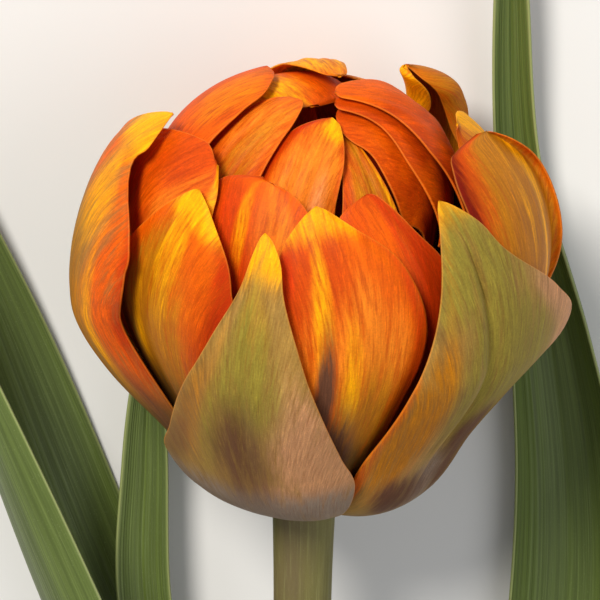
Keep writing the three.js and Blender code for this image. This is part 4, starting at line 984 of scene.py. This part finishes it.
def stem_material():
    """Olive stem with a faint purple flush, fine lengthwise streaks and a paler, ringed cut face."""
    w = Wiring("stem_skin")
    run = w.vector("run")
    streak = w.noise(w.stretched(run, 0.8, 0.03), 4, 0.6)
    fine = w.noise(w.stretched(run, 3.0, 0.1), 3, 0.6)
    broad = w.noise(w.stretched(run, 0.1, 0.02), 2, 0.5)
    grain = w.noise(w.stretched(run, 5.0, 5.0), 2, 0.6)
    colour = w.mix(w.ramp(streak, 0.3, 0.7), srgb("77703a"), srgb("665f30"))
    colour = w.mix(w.ramp(broad, 0.45, 0.65, 0.0, 0.6), colour, srgb("78604a"))
    colour = w.mix(w.ramp(fine, 0.5, 0.7, 0.0, 0.35), colour, srgb("98945c"))
    colour = w.mix(w.ramp(grain, 0.6, 0.75, 0.0, 0.3), colour, srgb("b0a880"))
    pith = w.mix(w.ramp(grain, 0.45, 0.6), srgb("c6cc92"), srgb("a9b070"))
    pith = w.mix(w.ramp(w.value("cut_ring"), 0.3, 0.8), pith, srgb("8a9450"))
    colour = w.mix(w.value("cut"), colour, pith)
    height = w.calc("ADD", fine, w.calc("MULTIPLY", grain, 0.5))
    return w.finish(Base_Color=colour, Roughness=w.ramp(streak, 0.2, 0.8, 0.45, 0.6),
                    Specular_IOR_Level=0.4, Subsurface_Weight=0.08,
                    Subsurface_Radius=(0.6, 0.8, 0.2), Subsurface_Scale=0.001,
                    Normal=w.bump(height, 0.45, 0.00015))


def make_stem():
    rings, along_mm, out, angle = stem_rings()
    obj = ring_body("stem_skin", to_rest(rings))
    set_run(obj, np.tile(STEM_RADIUS * angle, len(along_mm)), np.repeat(along_mm, STEM_SIDES), 0)
    set_values(obj, "cut", np.repeat(out < 1, STEM_SIDES))
    set_values(obj, "cut_ring", np.repeat(np.exp(-((out - 0.85) / 0.08) ** 2), STEM_SIDES))
    fit_in_frame(obj, "stem", stem_material())


# Leaves
def stem_at(y):
    """Point of the stem's axis at a place along it."""
    low, high = 0.0, 1.0
    for _ in range(40):
        middle = (low + high) / 2
        if stem_axis(middle)[1] < y:
            low = middle
        else:
            high = middle
    return stem_axis(low)


def leaf_knots(leaf):
    clasp = STEM_RADIUS + LEAF_SEAT_CLEARANCE + LEAF_THICKNESS / 2
    start, stop = leaf["hug"]
    towards = math.radians(leaf["facing"][0][1])
    offset = np.array([-clasp * math.sin(towards), 0, -clasp * math.cos(towards)])
    held = [stem_at(start + (stop - start) * k / 3) + offset for k in range(4)]
    points = np.array(held + leaf["midrib"])
    return curve_knots(points, np.linalg.norm(np.diff(points, axis=0), axis=1))


def leaf_surface(leaf):
    """place(s, u) of a leaf: s from foot to tip, u from left margin to right margin."""
    knots = leaf_knots(leaf)

    def midrib(s):
        return points_at(knots, s)

    def place(s, u):
        s, u = np.broadcast_arrays(np.asarray(s, float), np.asarray(u, float))
        onward = unit(midrib(np.minimum(1, s + COURSE_STEP)) - midrib(np.maximum(0, s - COURSE_STEP)))
        right = unit(np.cross(onward, [0.0, 0, 1]))
        up = unit(np.cross(right, onward))
        facing = np.radians(through(leaf["facing"], s, 1))[..., None]
        opening = up * np.cos(facing) + right * np.sin(facing)
        sideways = right * np.cos(facing) - up * np.sin(facing)
        half_width = np.maximum(LEAST_LEAF_HALF_WIDTH, by_side(leaf["width"], s, u)) * tip_share(s)
        cup = np.radians(through(leaf["cup"], s, 1))
        middle_width = (through(leaf["width"], s, 1) + through(leaf["width"], s, 2)) / 2
        bend = cup * half_width / middle_width
        radius = (middle_width / cup)[..., None]
        point = midrib(s) + sideways * radius * np.sin(bend * u)[..., None]
        point = point + opening * radius * (1 - np.cos(bend * u))[..., None]
        point[..., 2] = np.maximum(point[..., 2], LEAF_THICKNESS / 2)
        return point

    return place, float(np.sum(np.linalg.norm(np.diff(knots[:, 1:], axis=0), axis=1)))


def leaf_material():
    """Grey-green waxy leaf with parallel veins, a pale margin and small flecks."""
    w = Wiring("leaf_wax")
    run = w.vector("run")
    veins = w.noise(w.stretched(run, 1.3, 0.012), 3, 0.55)
    fine = w.noise(w.stretched(run, 4.5, 0.05), 3, 0.6)
    broad = w.noise(w.stretched(run, 0.12, 0.015), 2, 0.5)
    grain = w.noise(w.stretched(run, 4.0, 4.0), 2, 0.6)
    colour = w.mix(w.ramp(broad, 0.35, 0.65), srgb("59682c"), srgb("667636"))
    colour = w.mix(w.ramp(veins, 0.35, 0.65, 0.0, 0.6), colour, srgb("434f1e"))
    colour = w.mix(w.ramp(fine, 0.5, 0.7, 0.0, 0.35), colour, srgb("80904e"))
    colour = w.mix(w.ramp(grain, 0.6, 0.75, 0.0, 0.3), colour, srgb("8c9a66"))
    colour = w.mix(w.ramp(w.value("to_edge"), 0.0, 0.4, 0.6, 0.0), colour, srgb("a9b070"))
    height = w.calc("ADD", veins, w.calc("MULTIPLY", fine, 0.6))
    return w.finish(Base_Color=colour, Roughness=w.ramp(veins, 0.2, 0.8, 0.42, 0.55),
                    Specular_IOR_Level=0.45, Subsurface_Weight=0.08,
                    Subsurface_Radius=(0.5, 0.8, 0.2), Subsurface_Scale=0.0008,
                    Normal=w.bump(height, 0.5, 0.00018))


def above_floor(points, _):
    points[..., 2] = np.maximum(points[..., 2], LEAF_FLOOR_GAP)
    return points


def make_leaf(number, name, leaf, material):
    rows = np.linspace(0, 1, LEAF_ROWS + 1)
    place, length = leaf_surface(leaf)
    s, u = rows[:, None], np.linspace(-1, 1, LEAF_COLUMNS + 1)[None, :]
    margin_share = 1 - LEAF_MARGIN_THINNING * smoothstep(0.75, 1, np.abs(u))
    thickness = LEAF_THICKNESS * margin_share * (1 - LEAF_TIP_THINNING * smoothstep(0.9, 1, s))
    fading = smoothstep(0.1, 0.2, s) * (1 - smoothstep(0.9, 1, s))
    relief = LEAF_VEIN_HEIGHT * ripple(300 + number, s, u, 9, 0.6, 12) * fading
    relief = relief - LEAF_KEEL_DEPTH * np.exp(-(u / LEAF_KEEL_BREADTH) ** 2) * fading
    obj, s, u = blade(name + "_blade", place, rows, LEAF_COLUMNS, thickness, relief, above_floor, to_rest)
    half_width = np.maximum(LEAST_LEAF_HALF_WIDTH, by_side(leaf["width"], s, u))
    widest = max(max(row[1:]) for row in leaf["width"])
    set_run(obj, twice(u * widest), twice(s * length), 11.7 * number)
    set_values(obj, "to_edge", twice(half_width * (1 - np.abs(u))))
    fit_in_frame(obj, name, material)


make_stem()
wax = leaf_material()
for number, (name, leaf) in enumerate(LEAVES.items()):
    make_leaf(number, name, leaf, wax)


# Pistil and stamens
def lobed_ring(height, radius, lobe):
    angle = 2 * math.pi * np.arange(PISTIL_SIDES) / PISTIL_SIDES
    reach = radius * (1 + lobe * np.cos(3 * angle))
    ring = np.stack([reach * np.cos(angle), reach * np.sin(angle), np.full(PISTIL_SIDES, height)], -1)
    return laid(ring)


def heart_material(name, ground, spots, roughness):
    """Fine-grained skin of the pistil or of a stamen."""
    w = Wiring(name)
    coordinates = w.node("ShaderNodeTexCoord", output="Object")
    grain = w.noise(coordinates, 4, 0.65, 2600)
    soft = w.noise(coordinates, 2, 0.5, 500)
    colour = w.mix(w.ramp(soft, 0.35, 0.65, 0.0, 0.6), srgb(ground), srgb(spots))
    colour = w.mix(w.ramp(grain, 0.5, 0.65, 0.0, 0.5), colour, srgb(spots))
    return w.finish(Base_Color=colour, Roughness=roughness, Specular_IOR_Level=0.3,
                    Normal=w.bump(grain, 0.6, 0.0001))


def make_pistil():
    foot, length = PISTIL_FOOT, PISTIL_LENGTH
    style, top = foot + 0.78 * length, foot + length
    # share of the way up, height, radius, depth of the three lobes
    knots = [[0, foot, 0.68 * OVARY_RADIUS, 0.05], [0.18, foot + 0.2 * length, OVARY_RADIUS, 0.12],
             [0.5, foot + 0.55 * length, 0.95 * OVARY_RADIUS, 0.14], [0.72, style, 0.7 * OVARY_RADIUS, 0.14],
             [0.83, style + 1.2, STIGMA_RADIUS, 0.32], [0.94, top - 0.6, 1.02 * STIGMA_RADIUS, 0.36],
             [1, top, 0.6 * STIGMA_RADIUS, 0.3]]
    profile = points_at(knots, np.linspace(0, 1, PISTIL_STEPS + 1))
    rings = [lobed_ring(height, radius, lobe) for height, radius, lobe in profile]
    rings = [lobed_ring(foot, 0.05, 0)] + rings + [lobed_ring(top - 0.4, 0.05, 0)]
    obj = ring_body("pistil_lobed", rings)
    fit_in_frame(obj, "pistil", heart_material("pistil_skin", "b4be62", "dcd88c", 0.6))


def make_stamen(number, material):
    around = 2 * math.pi * (number + 0.5) / STAMEN_COUNT
    outward = np.array([math.cos(around), math.sin(around), 0])
    foot, anther = PISTIL_FOOT, FILAMENT_LENGTH
    # height, lean outwards, radius
    stations = [[0, 0, 0.05], [0, 0, FILAMENT_RADIUS], [0.5 * anther, 0.6, 0.9 * FILAMENT_RADIUS],
                [anther, 1.4, 0.6 * FILAMENT_RADIUS], [anther + 0.3, 1.45, 0.8 * ANTHER_RADIUS],
                [anther + 0.35 * ANTHER_LENGTH, 1.8, ANTHER_RADIUS],
                [anther + 0.8 * ANTHER_LENGTH, 2.2, 0.85 * ANTHER_RADIUS],
                [anther + 0.97 * ANTHER_LENGTH, 2.34, 0.4 * ANTHER_RADIUS],
                [anther + ANTHER_LENGTH, 2.35, 0.05]]
    angle = 2 * math.pi * np.arange(STAMEN_SIDES) / STAMEN_SIDES
    rings = []
    for height, lean, radius in stations:
        groove = 1 - 0.14 * np.cos(2 * (angle - around)) ** 8 * (height > anther)
        centre = outward * (STAMEN_RING_RADIUS + lean) + np.array([0, 0, foot + height])
        ring = np.stack([np.cos(angle), np.sin(angle), 0 * angle], -1) * (radius * groove)[:, None]
        rings.append(laid(centre + ring))
    obj = ring_body(f"stamen_{number + 1}_anther", rings)
    smooth = obj.modifiers.new("smooth", "SUBSURF")
    smooth.levels = smooth.render_levels = 1
    fit_in_frame(obj, f"stamen_{number + 1}", material)


make_pistil()
pollen = heart_material("stamen_pollen", "3c2a1c", "5c4426", 0.75)
for number in range(STAMEN_COUNT):
    make_stamen(number, pollen)


# Camera, light and surface
tilt = math.radians(CAMERA_TILT)
bloom_middle = Vector((-REST_SPOT[0], -REST_SPOT[1], BLOOM_CENTRE_HEIGHT)) * MM
towards_camera = Vector((0, math.sin(tilt), math.cos(tilt)))
camera_up = Vector((0, math.cos(tilt), -math.sin(tilt)))
camera_right = camera_up.cross(towards_camera)
camera = bpy.data.objects.new("camera", bpy.data.cameras.new("camera"))
camera.data.lens = CAMERA_LENS
camera.data.sensor_width = CAMERA_SENSOR
camera.data.shift_x, camera.data.shift_y = CAMERA_SHIFT
camera.data.clip_start = 0.01
turn = Matrix((camera_right, camera_up, towards_camera)).transposed()
camera.matrix_world = Matrix.Translation(bloom_middle + CAMERA_DISTANCE * towards_camera) @ turn.to_4x4()
bpy.context.scene.collection.objects.link(camera)
bpy.context.scene.camera = camera


def add_light(name, place, size, power, colour):
    """Round soft light that faces the bloom."""
    data = bpy.data.lights.new(name, "AREA")
    data.shape = "DISK"
    data.size = size
    data.energy = power
    data.color = colour
    light = bpy.data.objects.new(name, data)
    light.location = place
    light.rotation_mode = "QUATERNION"
    light.rotation_quaternion = (Vector(place) - bloom_middle).to_track_quat("Z", "Y")
    bpy.context.scene.collection.objects.link(light)


add_light("key", *KEY_LIGHT, (1.0, 0.97, 0.92))
add_light("fill", *FILL_LIGHT, (0.95, 0.97, 1.0))
world = bpy.data.worlds.new("studio")
world.use_nodes = True
world.node_tree.nodes["Background"].inputs["Color"].default_value = (0.92, 0.95, 1.0, 1)
world.node_tree.nodes["Background"].inputs["Strength"].default_value = SKY_STRENGTH
bpy.context.scene.world = world
bpy.context.scene.view_settings.view_transform = "Standard"

floor_mesh = bpy.data.meshes.new("floor")
floor_corners = [(x * FLOOR_REACH, y * FLOOR_REACH, 0) for x, y in ((-1, -1), (1, -1), (1, 1), (-1, 1))]
floor_mesh.from_pydata(floor_corners, [], [(0, 1, 2, 3)])
floor = bpy.data.objects.new("floor", floor_mesh)
bpy.context.scene.collection.objects.link(floor)
floor_wiring = Wiring("floor_paint")
floor_tone = floor_wiring.noise(floor_wiring.node("ShaderNodeTexCoord", output="Object"), 2, 0.5, 30)
floor_colour = floor_wiring.mix(floor_tone, srgb("e6e4e0"), srgb("e9e7e3"))
floor.data.materials.append(floor_wiring.finish(Base_Color=floor_colour, Roughness=0.85))
